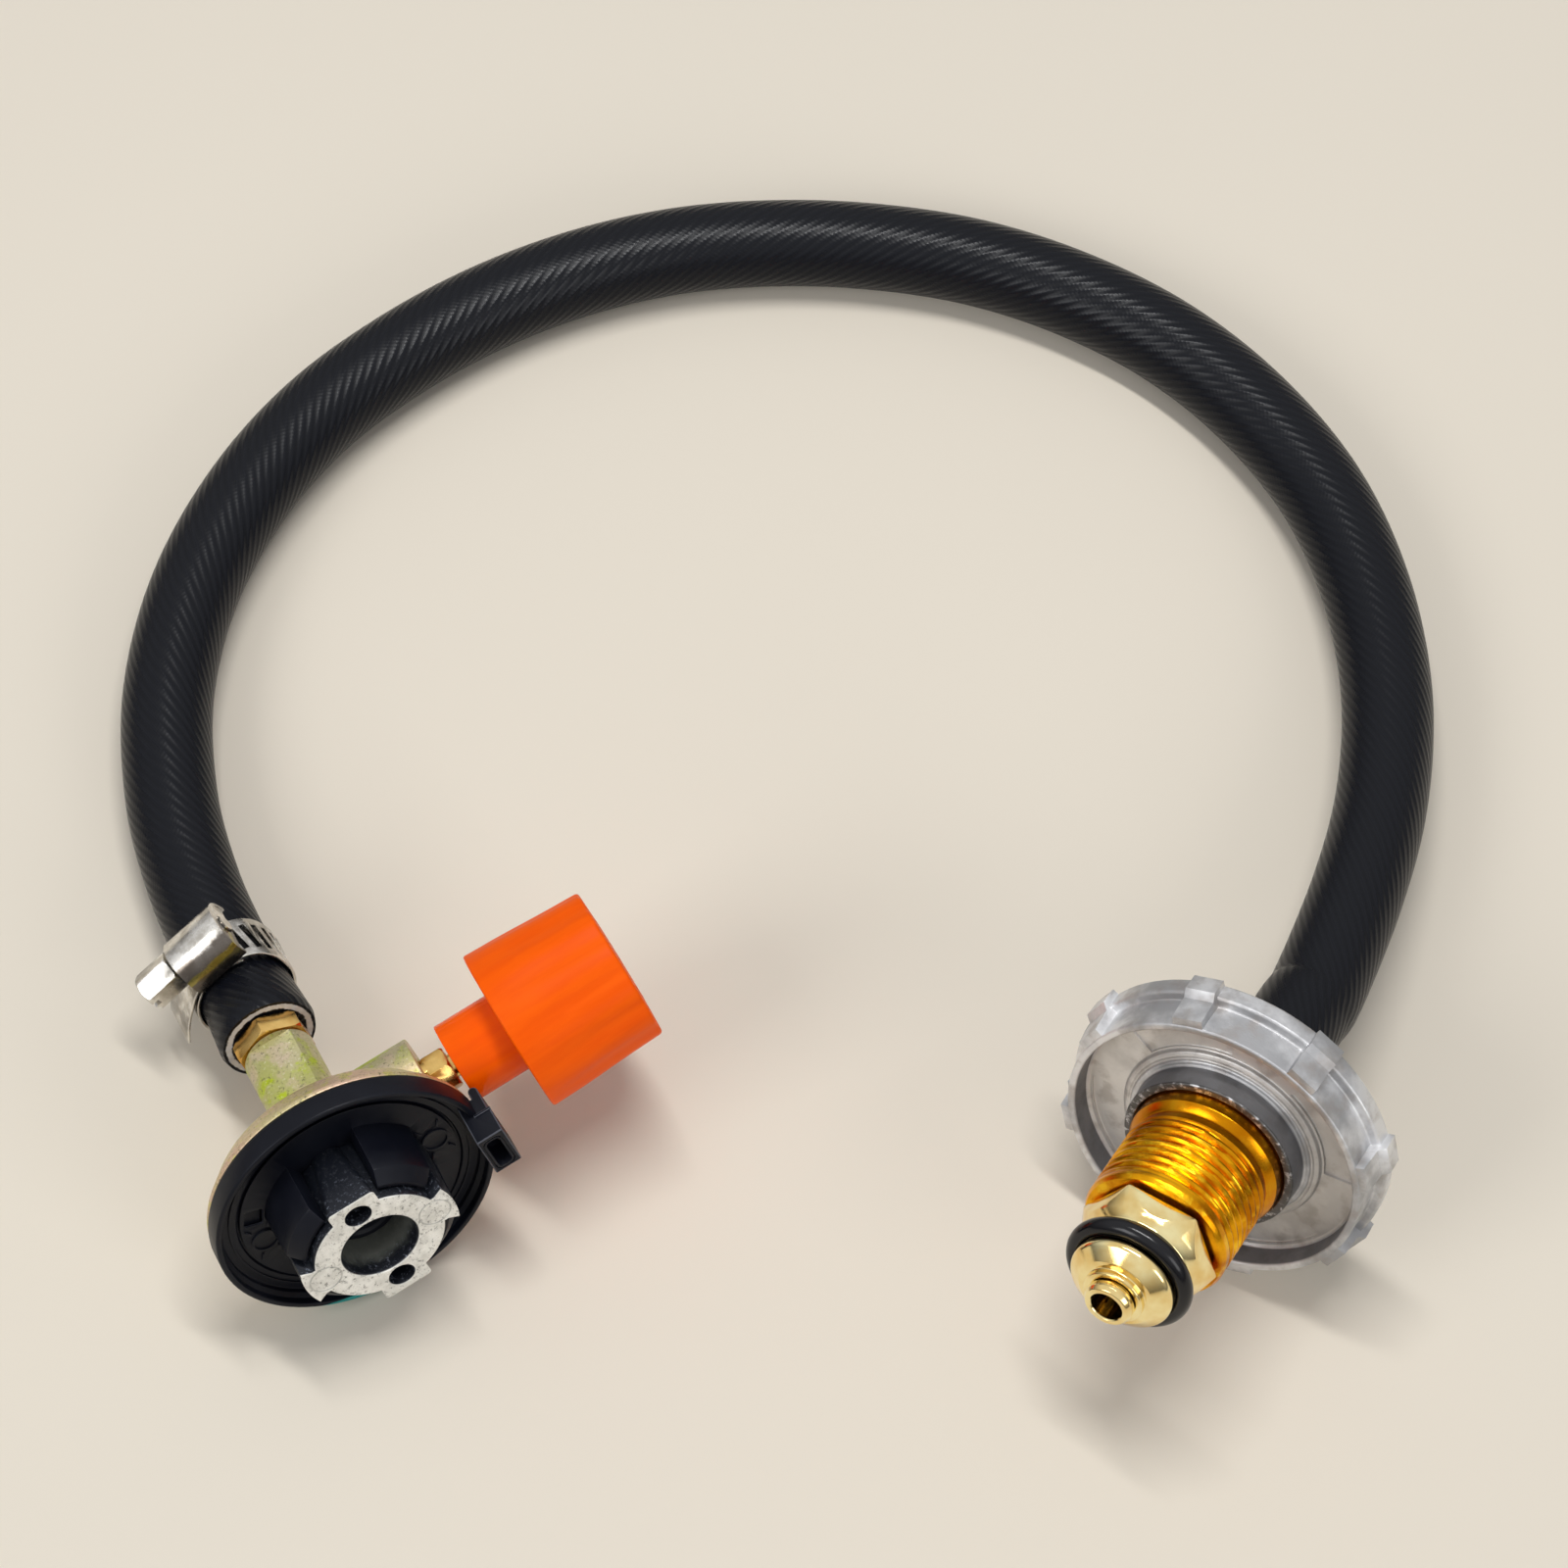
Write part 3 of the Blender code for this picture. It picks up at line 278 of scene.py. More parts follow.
# ================================================================ shader nodes
class Socket:
    """A shader output that adds, scales and compares like a number."""

    def __init__(self, nodes, output):
        self.nodes = nodes
        self.output = output

    def maths(self, operation, *others, swap=False):
        values = [self, *others]
        if swap:
            values.reverse()
        return self.nodes.add("Math", {"operation": operation}, plugs=dict(enumerate(values)))

    def __add__(self, other):
        return self.maths("ADD", other)

    def __sub__(self, other):
        return self.maths("SUBTRACT", other)

    def __rsub__(self, other):
        return self.maths("SUBTRACT", other, swap=True)

    def __mul__(self, other):
        return self.maths("MULTIPLY", other)

    def __truediv__(self, other):
        return self.maths("DIVIDE", other)

    def __rtruediv__(self, other):
        return self.maths("DIVIDE", other, swap=True)

    def __pow__(self, other):
        return self.maths("POWER", other)

    __radd__ = __add__
    __rmul__ = __mul__

    def sine(self):
        return self.maths("SINE")

    def ramp(self, low, high, start=0.0, end=1.0):
        """Maps low..high onto start..end, smoothly, and holds it outside."""
        return self.nodes.add(
            "MapRange", {"interpolation_type": "SMOOTHSTEP", "clamp": True},
            Value=self, From_Min=low, From_Max=high, To_Min=start, To_Max=end,
        )


class Nodes:
    """The shader nodes of a material or of the world."""

    def __init__(self, tree):
        self.tree = tree

    def wire(self, value, plug):
        if isinstance(value, Socket):
            self.tree.links.new(value.output, plug)
        elif plug.type == "RGBA" and len(value) == 3:
            plug.default_value = (*value, 1.0)
        else:
            plug.default_value = value

    def add(self, kind, settings=None, output=0, plugs=None, **inputs):
        """Adds a node of that kind, with its settings and its inputs by number or by name."""
        node = self.tree.nodes.new("ShaderNode" + kind)
        for key, value in (settings or {}).items():
            setattr(node, key, value)
        named = {key.replace("_", " "): value for key, value in inputs.items()}
        for key, value in {**(plugs or {}), **named}.items():
            self.wire(value, node.inputs[key])
        return Socket(self, node.outputs[output])

    def parts(self, vector):
        return [self.add("SeparateXYZ", output=axis, Vector=vector) for axis in "XYZ"]

    def mix(self, factor, first, second):
        return self.add("Mix", {"data_type": "RGBA"}, 2, {0: factor, 6: first, 7: second})


class Look(Nodes):
    """A procedural material. Numbers given here are the same all over its surface."""

    def __init__(self, name, **constants):
        self.material = bpy.data.materials.new(name)
        self.material.use_nodes = True
        super().__init__(self.material.node_tree)
        self.shader = self.tree.nodes["Principled BSDF"]
        self.feed(**constants)

    def place(self):
        """Place on the object, in metres."""
        return self.add("TexCoord", output="Object")

    def drawn(self):
        """Place in the piece's own frame, in millimetres."""
        return self.add("Attribute", {"attribute_name": "drawn"}, output="Vector")

    def mark(self, name):
        return self.add("Attribute", {"attribute_name": name}, output="Fac")

    def noise(self, scale, detail=4.0, roughness=0.55, vector=None):
        place = vector or self.place()
        return self.add("TexNoise", Vector=place, Scale=scale, Detail=detail, Roughness=roughness)

    def cells(self, scale):
        return self.add("TexVoronoi", Vector=self.place(), Scale=scale)

    def feed(self, **inputs):
        for key, value in inputs.items():
            self.wire(value, self.shader.inputs[key.replace("_", " ")])

    def finish(self, colour, rough, height, depth, strength=1.0):
        """The finished material. Depth is how high, in metres, a height of 1 stands."""
        bump = self.add("Bump", Height=height, Distance=depth, Strength=strength)
        self.feed(Base_Color=colour, Roughness=rough, Normal=bump)
        return self.material


# ================================================================ materials
def cast_zinc():
    """Bare die-cast zinc: cloudy grey and pitted, with bright edges from wear and a painted
    highlight, and painted shade in corners, on the hub's side and on the rim's inner wall.
    """
    look = Look("cast_zinc", Metallic=0.70)
    x, y, z = look.parts(look.drawn())
    reach = (x * x + y * y) ** 0.5
    clouds = look.noise(90, 5)
    grain = look.noise(2600, 3, 0.7)
    pits = look.cells(1500).ramp(0.02, 0.16)
    edge = look.mark("edge")
    colour = look.mix(clouds.ramp(0.38, 0.62), (0.38, 0.38, 0.39), (0.78, 0.78, 0.79))
    web = reach.ramp(22.0, 21.6) * z.ramp(1.2, 0.9)
    colour = look.mix(web * 0.55, colour, (0.72, 0.68, 0.63))
    stains = look.noise(240, 4).ramp(0.48, 0.68, 0, 0.5)
    colour = look.mix(stains, colour, (0.34, 0.30, 0.27))
    # Painted shade on the hub's side and on the rim's inner wall.
    hub = reach.ramp(13.3, 13.45) * reach.ramp(13.75, 13.6) * z.ramp(1.2, 1.6) * z.ramp(5.2, 4.9)
    lip = reach.ramp(22.0, 22.1) * reach.ramp(22.5, 22.4) * z.ramp(0.2, 0.5) * z.ramp(3.8, 3.4)
    colour = look.mix((hub + lip) * 0.78, colour, (0.09, 0.09, 0.10))
    mouth = reach.ramp(13.6, 13.45) * z.ramp(4.75, 4.95) * look.noise(900, 4, 0.7).ramp(0.35, 0.5)
    colour = look.mix(mouth * 0.9, colour, (0.05, 0.045, 0.04))
    # Bright outer edges: wear, and a painted highlight.
    wear_and_highlight = edge * look.noise(700, 4).ramp(0.3, 0.6, 0.4, 1.0)
    colour = look.mix(wear_and_highlight, colour, (0.97, 0.97, 0.98))
    # Painted shade in inner corners.
    colour = look.mix(edge * -0.95, colour, (0.03, 0.028, 0.025))
    rough = clouds.ramp(0.3, 0.7, 0.50, 0.34) + grain * 0.08
    height = grain * 0.6 + pits * 0.5 + clouds
    return look.finish(colour, rough, height, 0.00006, 0.8)


def boss_zinc():
    """A bright mottled face on a rough casting whose sides are painted dark as shade and reflection
    of the black plastic, with painted glints that grow brighter towards the face.
    """
    look = Look("boss_zinc", Metallic=0.35)
    x, y, z = look.parts(look.drawn())
    face = z.ramp(BOSS_FACE - 0.2, BOSS_FACE - 0.05)
    specks = look.noise(1500, 5, 0.8).ramp(0.54, 0.64)
    clouds = look.noise(420, 4)
    pale = look.mix(clouds.ramp(0.3, 0.7), (0.74, 0.73, 0.68), (0.97, 0.96, 0.91))
    pale = look.mix(specks * 0.8, pale, (0.24, 0.23, 0.20))
    # Painted glints, brighter towards the face, on sides painted dark as shade and reflection.
    glints = look.noise(1500, 5, 0.8).ramp(0.54, 0.70) * z.ramp(0.5, 8.6, 0.04, 1.0)
    dark = look.mix(glints, (0.006, 0.008, 0.014), (0.24, 0.27, 0.34))
    bore = (x * x + y * y).ramp(39.0, 37.5) * (z + clouds * 3).ramp(9.0, 6.5)
    dark = look.mix(bore * 0.9, dark, (0.25, 0.26, 0.23))
    height = specks * -0.6 + look.noise(3000, 3, 0.7) * 0.7
    rough = face.ramp(0, 1, 0.45, 0.38)
    return look.finish(look.mix(face, dark, pale), rough, height, 0.00007, 0.9)


def yellow_zinc():
    """Yellow-chromated casting: a pinkish tan plate, a greener neck, and dark grains; the plate's
    front face carries painted shade.
    """
    look = Look("yellow_zinc", Metallic=0.60)
    z = look.parts(look.drawn())[2]
    bloom = look.noise(75, 3, 0.6)
    patches = look.noise(190, 4, 0.6)
    grain = look.noise(1900, 4, 0.75)
    blots = look.noise(520, 4, 0.7)
    plate_tone = look.mix(bloom.ramp(0.38, 0.62), (0.66, 0.46, 0.32), (0.60, 0.53, 0.27))
    plate_tone = look.mix(blots.ramp(0.52, 0.62, 0, 0.7), plate_tone, (0.62, 0.58, 0.14))
    neck_tone = look.mix(bloom.ramp(0.40, 0.62), (0.55, 0.49, 0.30), (0.50, 0.50, 0.16))
    neck_tone = look.mix(patches.ramp(0.50, 0.62, 0, 0.9), neck_tone, (0.50, 0.60, 0.01))
    colour = look.mix((z + bloom * 2).ramp(-9.0, -13.0), plate_tone, neck_tone)
    colour = look.mix(patches.ramp(0.46, 0.36, 0, 0.45), colour, (0.72, 0.54, 0.44))
    colour = look.mix(grain.ramp(0.55, 0.66, 0, 0.8), colour, (0.13, 0.12, 0.06))
    colour = look.mix(grain.ramp(0.42, 0.30, 0, 0.6), colour, (0.92, 0.90, 0.78))
    # Painted shade on the plate's front face, behind the dish.
    colour = look.mix(z.ramp(PLATE_FRONT - 0.15, PLATE_FRONT - 0.05), colour, (0.03, 0.028, 0.02))
    return look.finish(colour, patches.ramp(0.3, 0.7, 0.34, 0.50), grain, 0.00008, 0.9)


def black_plastic(name, marked=False):
    """Satin moulded plastic, faintly orange-peeled, which may have a teal dab on its rim. Outer
    edges carry a painted highlight and inner edges painted shade.
    """
    look = Look(name, Specular_IOR_Level=0.16)
    haze = look.noise(130, 4)
    edge = look.mark("edge")
    colour = look.mix(haze.ramp(0.3, 0.7), (0.0040, 0.0046, 0.0085), (0.0065, 0.0076, 0.0125))
    # A painted highlight on outer edges, brighter on the marked ring.
    edge_highlight = (0.13, 0.135, 0.16) if marked else (0.050, 0.052, 0.068)
    colour = look.mix(edge * 0.6, colour, edge_highlight)
    # Painted shade in inner edges.
    colour = look.mix(edge * -0.8, colour, (0.001, 0.001, 0.002))
    if marked:
        x, y, z = look.parts(look.drawn())
        dab = (x * -0.39 + y * -0.92 + haze * 0.8).ramp(21.05, 21.35) * z.ramp(-3.4, -3.0)
        colour = look.mix(dab, colour, (0.02, 0.27, 0.25))
    rough = haze.ramp(0.3, 0.7, 0.30, 0.42) + look.noise(1200, 3) * 0.08
    height = look.noise(900, 3) + look.noise(4200, 2) * 0.3
    return look.finish(colour, rough, height, 0.00002, 0.6)


def orange_plastic():
    """Smooth orange moulding with faint handling streaks."""
    look = Look("orange_plastic", Specular_IOR_Level=0.10)
    x, y, z = look.parts(look.drawn())
    streak_at = look.add("CombineXYZ", X=x, Y=y, Z=z * 0.12)
    streaks = look.noise(0.55, 4, 0.6, streak_at)
    colour = look.mix(streaks.ramp(0.3, 0.7), (0.93, 0.098, 0.0), (0.99, 0.120, 0.0))
    grip = z.ramp(KNOB_SHOULDER - 0.5, KNOB_SHOULDER + 0.5, 0.10, 0.42)
    rough = grip + streaks.ramp(0.35, 0.65, 0.0, 0.1)
    height = streaks + look.noise(2000, 3) * 0.1
    return look.finish(colour, rough, height, 0.00002, 0.5)


def turned_metal(name, dark, bright, rough, lathe=1.0, tint=None, fade=None):
    """Lathe-turned metal: fine rings along its own axis, and slow changes of tone. A fade, if
    given, darkens it along its axis as painted shade.
    """
    look = Look(name, Metallic=1.0)
    x, y, z = look.parts(look.drawn())
    rings = look.noise(1.0, 3, 0.7, look.add("CombineXYZ", X=z * 26, Y=x * 0.15, Z=y * 0.15))
    slow = look.noise(160, 3)
    colour = look.mix(slow.ramp(0.3, 0.7), dark, bright)
    if tint:
        colour = look.mix(look.noise(340, 4, 0.6).ramp(0.52, 0.68, 0, 0.6), colour, tint)
    colour = look.mix(rings.ramp(0.5, 0.8, 0, 0.35 * lathe), colour, dark)
    if fade:
        # Painted shade that darkens the piece along its axis; on the nut, towards the hub.
        colour = look.mix(z.ramp(*fade) * 0.7, colour, dark)
    roughness = rings.ramp(0.3, 0.7, rough * 0.8, rough * 1.35)
    return look.finish(colour, roughness, rings, 0.00002, 0.5 * lathe)


def sheet_steel(name, housing=False):
    """Bright rolled strip, with smears and painted reflections. The housing's lower side carries
    painted shade and an olive stripe.
    """
    look = Look(name, Metallic=1.0)
    x, y, z = look.parts(look.drawn())
    grain = look.noise(1.0, 4, 0.7, look.add("CombineXYZ", X=z * 9, Y=x * 0.4, Z=y * 0.4))
    smear_and_reflection = look.noise(420, 4, 0.6)
    broad_reflection = look.noise(150, 3, 0.5)
    edge = look.mark("edge")
    # Painted reflections: light and dark smears and broad dark patches stand in for the room seen
    # in the steel.
    colour = look.mix(smear_and_reflection.ramp(0.35, 0.65), (0.56, 0.53, 0.48), (0.84, 0.82, 0.78))
    colour = look.mix(broad_reflection.ramp(0.50, 0.62, 0, 0.7), colour, (0.20, 0.18, 0.16))
    if housing:
        front = z.ramp(0.0, 1.0)
        level = y + smear_and_reflection * 1.2 + grain * 0.3
        # Painted shade on the lower front of the housing.
        colour = look.mix(level.ramp(3.3, 2.7) * front * 0.9, colour, (0.10, 0.08, 0.065))
        stripe = level.ramp(1.35, 1.15) * level.ramp(0.2, 0.4) * front
        colour = look.mix(stripe * 0.9, colour, (0.33, 0.28, 0.08))
    # A painted highlight on outer edges and painted shade in inner ones.
    colour = look.mix(edge * 0.5, colour, (0.95, 0.94, 0.92))
    colour = look.mix(edge * -0.9, colour, (0.03, 0.028, 0.025))
    rough = smear_and_reflection.ramp(0.3, 0.7, 0.14, 0.28) + grain * 0.05
    return look.finish(colour, rough, grain + smear_and_reflection, 0.000008, 0.5)


def hose_rubber():
    """Black rubber that keeps the slanting print of the cloth it was cured in. A painted highlight
    lies on the cut end face.
    """
    look = Look("hose_rubber", Specular_IOR_Level=0.18)
    along, around, reach = look.parts(look.drawn())
    slow = look.noise(60, 3)
    wobble = slow * 0.6
    print_phase = around * 28 + along / 2.35 + wobble
    ribs = (print_phase * TURN).sine() * 0.5 + 0.5
    weave = ((around * 60 - along / 1.1) * TURN).sine() * 0.5 + 0.5
    fine = look.noise(2600, 3, 0.7)
    colour = look.mix(ribs, (0.0032, 0.0038, 0.0064), (0.0055, 0.0064, 0.0098))
    colour = look.mix(fine.ramp(0.62, 0.78, 0, 0.4), colour, (0.020, 0.022, 0.028))
    ragged = reach + look.noise(900, 4, 0.7) * 0.9
    cut_face_highlight = ragged.ramp(6.4, 6.6) * ragged.ramp(7.45, 7.3)
    # A painted highlight on the rough cut end face.
    colour = look.mix(cut_face_highlight, colour, (0.62, 0.62, 0.64))
    rough = ribs.ramp(0, 1, 0.34, 0.22) + slow * 0.06 + cut_face_highlight * 0.4
    height = ribs + weave * 0.15 + fine * 0.12
    return look.finish(colour, rough, height, 0.00009, 0.6)


def ring_rubber():
    look = Look("ring_rubber", Specular_IOR_Level=0.35)
    haze = look.noise(260, 4)
    colour = look.mix(haze, (0.002, 0.002, 0.003), (0.005, 0.005, 0.008))
    return look.finish(colour, haze.ramp(0.3, 0.7, 0.12, 0.22), haze, 0.00002, 0.4)


def porous_bronze():
    look = Look("porous_bronze", Metallic=0.8)
    cells = look.cells(3000)
    colour = look.mix(cells.ramp(0.0, 0.5), (0.16, 0.10, 0.05), (0.52, 0.36, 0.19))
    return look.finish(colour, 0.6, cells, 0.0001)


zinc_look = cast_zinc()
boss_look = boss_zinc()
yellow_look = yellow_zinc()
black_look = black_plastic("black_plastic")
ring_black_look = black_plastic("black_ring_plastic", marked=True)
orange_look = orange_plastic()
brass_look = turned_metal("brass", (0.62, 0.34, 0.08), (0.95, 0.66, 0.24), 0.16)
amber_look = turned_metal(
    "amber_gold", (0.50, 0.16, 0.002), (0.98, 0.47, 0.01), 0.20, 0.8,
    tint=(1.0, 0.66, 0.03), fade=(16, 8),
)
gold_look = turned_metal("pale_gold", (0.84, 0.58, 0.20), (1.0, 0.88, 0.48), 0.10, 0.3)
steel_look = sheet_steel("bright_steel")
housing_look = sheet_steel("steel_with_painted_shade", housing=True)
hose_look = hose_rubber()
ring_look = ring_rubber()
bronze_look = porous_bronze()


# ================================================================ camera
camera = bpy.data.objects.new("camera", bpy.data.cameras.new("camera"))
bpy.context.scene.collection.objects.link(camera)
camera.location = (0.00459, -0.28395, 0.63707)
camera.rotation_euler = (math.radians(29), 0, 0)
camera.data.sensor_width = 36.0
camera.data.lens = 105.28
camera.data.clip_start = 0.05
bpy.context.scene.camera = camera


# ================================================================ hose
HOSE_R = 7.22
HOSE_BORE_R = 4.0
FLARE = 0.08
FLARE_LENGTH = 8.5
HOSE_ROUTE = [
    (-0.08671, 0.04668, 0.00775),
    (-0.09131, 0.06218, 0.00735),
    (-0.09311, 0.08108, 0.00735),
    (-0.09021, 0.10058, 0.00735),
    (-0.08281, 0.11868, 0.00735),
    (-0.07211, 0.13418, 0.00735),
    (-0.05871, 0.14648, 0.00735),
    (-0.04411, 0.15618, 0.00735),
    (-0.02871, 0.16318, 0.00735),
    (-0.01271, 0.16748, 0.00735),
    (0.00379, 0.16898, 0.00735),
    (0.02019, 0.16818, 0.00735),
    (0.03679, 0.16498, 0.00735),
    (0.05289, 0.15858, 0.00735),
    (0.06819, 0.14898, 0.00735),
    (0.08149, 0.13578, 0.00735),
    (0.09199, 0.11948, 0.00740),
    (0.09809, 0.10098, 0.00760),
    (0.10009, 0.08118, 0.00840),
    (0.09799, 0.06158, 0.01010),
    (0.09289, 0.04368, 0.01275),
]
STRAIGHT_AT_HEAD = (35.5, 40.0, 45.0, 50.0, 54.5)
STRAIGHT_AT_FITTING = (34.0, 28.0, 22.0, 15.0, 8.2)


def hose_line(spacing):
    """Points of a Catmull-Rom curve through the hose's route, about the spacing apart."""
    knots = [HEAD @ Vector((0, 0, -far)) for far in STRAIGHT_AT_HEAD]
    knots += [Vector(point) for point in HOSE_ROUTE]
    knots += [FITTING @ Vector((0, 0, -far)) for far in STRAIGHT_AT_FITTING]
    ends = [2 * knots[0] - knots[1], *knots, 2 * knots[-1] - knots[-2]]
    line = []
    for a, b, c, d in zip(ends, ends[1:], ends[2:], ends[3:]):
        count = max(2, round((c - b).length / spacing))
        for step in range(count):
            t = step / count
            point = 2 * b + (c - a) * t + (2 * a - 5 * b + 4 * c - d) * t**2
            line.append((point + (3 * b - a - 3 * c + d) * t**3) / 2)
    line.append(knots[-1])
    return line


def hose_frame(line, index, side_on):
    """The frame of the hose's cross section at a point: +Z runs along the hose."""
    ahead = line[min(index + 1, len(line) - 1)] - line[max(index - 1, 0)]
    ahead.normalize()
    side_on = (side_on - ahead * side_on.dot(ahead)).normalized()
    turn = Matrix((side_on, ahead.cross(side_on), ahead)).transposed().to_4x4()
    return Matrix.Translation(line[index]) @ turn


def make_hose():
    """A thick-walled tube along the route, flared where its end is pushed over the barb."""
    lip_depth, lip_length = 0.4, 0.8
    line = hose_line(0.0012)
    sides = 64
    frames = [hose_frame(line, 0, HEAD.to_3x3() @ Vector((1000, 0, 0)))]
    for index in range(1, len(line)):
        frames.append(hose_frame(line, index, frames[-1].to_3x3() @ Vector((1, 0, 0))))
    runs = [0.0]
    for point, after in zip(line, line[1:]):
        runs.append(runs[-1] + (after - point).length * 1000)
    last = runs[-1]

    # Each ring: its frame, its run along the hose, its radius, and its shift along the frame.
    rings = [
        (frames[0], 0.0, HOSE_BORE_R - 0.1, 6.0),
        (frames[0], 0.0, HOSE_BORE_R, 0.3),
        (frames[0], 0.0, HOSE_BORE_R + 0.3, 0.0),
    ]
    cut_face = (6.0, 6.4, 6.8, HOSE_R * (1 + FLARE) - 0.5)
    rings += [(frames[0], 0.0, radius, 0.0) for radius in cut_face]
    for frame_here, run in zip(frames, runs):
        flare = 1 + FLARE * max(0.0, 1 - run / FLARE_LENGTH)
        near_end = max(0.0, 1 - run / lip_length) + max(0.0, 1 - (last - run) / lip_length)
        lip = lip_depth * near_end**2
        rings.append((frame_here, run, HOSE_R * flare - lip, 0.0))
    rings += [(frames[-1], last, HOSE_BORE_R + 0.2, 0.0), (frames[-1], last, HOSE_BORE_R, -6.0)]

    shape = bmesh.new()
    drawn = shape.verts.layers.float_vector.new("drawn")
    bmesh.ops.create_circle(shape, segments=sides, radius=1.0)
    loop = list(shape.verts)
    round_it = [vert.co.copy() for vert in loop]
    for index, (frame_here, run, radius, shift) in enumerate(rings):
        if index:
            edges = [vert_edge(a, b) for a, b in zip(loop, loop[1:] + loop[:1])]
            grown = bmesh.ops.extrude_edge_only(shape, edges=edges)["geom"]
            new = {part for part in grown if isinstance(part, bmesh.types.BMVert)}
            loop = [grown_from(vert, new) for vert in loop]
        for vert, unit in zip(loop, round_it):
            local = Vector((unit.x * radius, unit.y * radius, shift)) / 1000
            vert.co = frame_here @ local
            vert[drawn] = (run, math.atan2(unit.y, unit.x) / TURN, radius)
    rims = [edge for edge in shape.edges if edge.is_boundary]
    bmesh.ops.holes_fill(shape, edges=rims, sides=0)
    bmesh.ops.recalc_face_normals(shape, faces=shape.faces)
    hose = finished(
        "rubber_hose", shape, hose_look, "hose_assembly", "hose", 50
    )
    return hose, line, last / 1000


def vert_edge(a, b):
    return next(edge for edge in a.link_edges if edge.other_vert(a) is b)


def grown_from(vert, new):
    """The one of the new vertices that was extruded from this one."""
    return next(edge.other_vert(vert) for edge in vert.link_edges if edge.other_vert(vert) in new)


hose, hose_path, hose_length = make_hose()


# ================================================================ valve head
def make_valve_body():
    profile = outline([
        (0.0, PLATE_FRONT), (PLATE_R, PLATE_FRONT, 0.3), (PLATE_R, PLATE_FRONT - 0.8, 0.6),
        (18.7, -8.6, 0.9), (9.5, -8.8, 1.2), (5.5, -12.6, 2.5), (5.5, -31.8, 0.5), (0.0, -31.8),
    ])
    boss = outline([(0.0, 2.4), (3.9, 2.4), (7.1, 8.7, 1.0), (7.1, 17.9, 0.3), (0.0, 17.9)])
    side, neck_from, neck_to = 4.2, -31.5, -11.6
    spindle_way = [
        (0, -1.5), (SPINDLE_BORE_R, -1.5), (SPINDLE_BORE_R, 10.6), (3.5, 10.6), (3.5, 18.4),
        (0, 18.4),
    ]
    gas_way = [
        (0, -3.6), (2.7, -3.6), (2.7, -6.9), (1.2, -6.9), (1.2, -24.0), (3.5, -24.0),
        (3.5, -32.2), (0, -32.2),
    ]
    shape = carved(
        turned(profile),
        ("DIFFERENCE", block((-9, side, neck_from), (9, 9, neck_to))),
        ("DIFFERENCE", block((-9, -9, neck_from), (9, -side, neck_to))),
        ("UNION", moved(turned(boss, AROUND // 2), ALONG_SPINDLE)),
        ("DIFFERENCE", moved(turned(spindle_way, AROUND // 2), ALONG_SPINDLE)),
        ("DIFFERENCE", turned(gas_way, AROUND // 2)),
        ("DIFFERENCE", rod(SCREW_HOLE_R, -8.2, -3.6, (0, SCREW_REACH), 16)),
        ("DIFFERENCE", rod(SCREW_HOLE_R, -8.2, -3.6, (0, -SCREW_REACH), 16)),
    )
    softened(shape, 0.25)
    placed("cast_body", shape, HEAD, yellow_look, "hose_assembly", "valve_body")


def make_centre_boss():
    """A ring with two fan-shaped lugs, and two lugs that carry the screws."""
    root, waist, reach, half = 9.0, 10.3, 12.4, 2.9
    arc = [math.radians(-18 + 4 * step) for step in range(10)]
    fan = [(root, half), (waist, half)]
    fan += outline([(reach * math.cos(turn), -reach * math.sin(turn), 0.7 * (step in (0, 9)))
                    for step, turn in enumerate(arc)])
    fan += [(waist, -half), (root, -half)]
    ring = outline([
        (5.9, BOSS_BACK), (10.15, BOSS_BACK), (10.15, BOSS_FACE, 0.25), (6.2, BOSS_FACE),
        (5.9, 8.8),
    ])
    steps = []
    for side in (0, 180):
        steps.append(("UNION", moved(plate(fan[::-1], BOSS_BACK, BOSS_FACE), spun(side, "Z"))))
    foot = outline([(7.1, -2.3), (11.2, -2.3, 2.1), (11.2, 2.3, 2.1), (7.1, 2.3)])
    crown = outline([(7.1, -3.8), (11.8, -3.8, 0.6), (11.8, 3.8, 0.6), (7.1, 3.8)])
    for side in (90, 270):
        lug = tapered(foot, crown, BOSS_BACK + 0.2, BOSS_FACE)
        steps.append(("UNION", moved(lug, spun(side, "Z"))))
    shape = carved(turned(ring), *steps)
    cuts = []
    for side in (-1, 1):
        way = [
            (0, 10), (2.1, 10), (2.1, -2.1), (SCREW_HOLE_R, -2.1), (SCREW_HOLE_R, -4), (0, -4),
        ]
        cuts.append(("DIFFERENCE", moved(turned(way, 32), shifted(0, side * SCREW_REACH, 0))))
    floor = rod(6.4, BOSS_BACK, 0.0)
    shape = carved(shape, *cuts, ("UNION", floor))
    pin_way = [(0, 1), (1.4, 1), (1.4, -1.7), (2.9, -1.7), (2.9, -4), (0, -4)]
    shape = carved(shape, ("DIFFERENCE", turned(pin_way, 32)))
    softened(shape, 0.16)
    marks = []
    mark_reach, low, high = 9.2, BOSS_FACE - 0.1, BOSS_FACE + 0.3
    for side in (-1, 1):
        mark = outline([(2.3, low), (2.3, high), (2.6, high), (2.6, low)])
        marks.append(("DIFFERENCE", moved(turned(mark, 40), shifted(side * mark_reach, 0, 0))))
    shape = carved(shape, *marks)
    placed("zinc_boss", shape, HEAD, boss_look, "hose_assembly", "centre_boss")


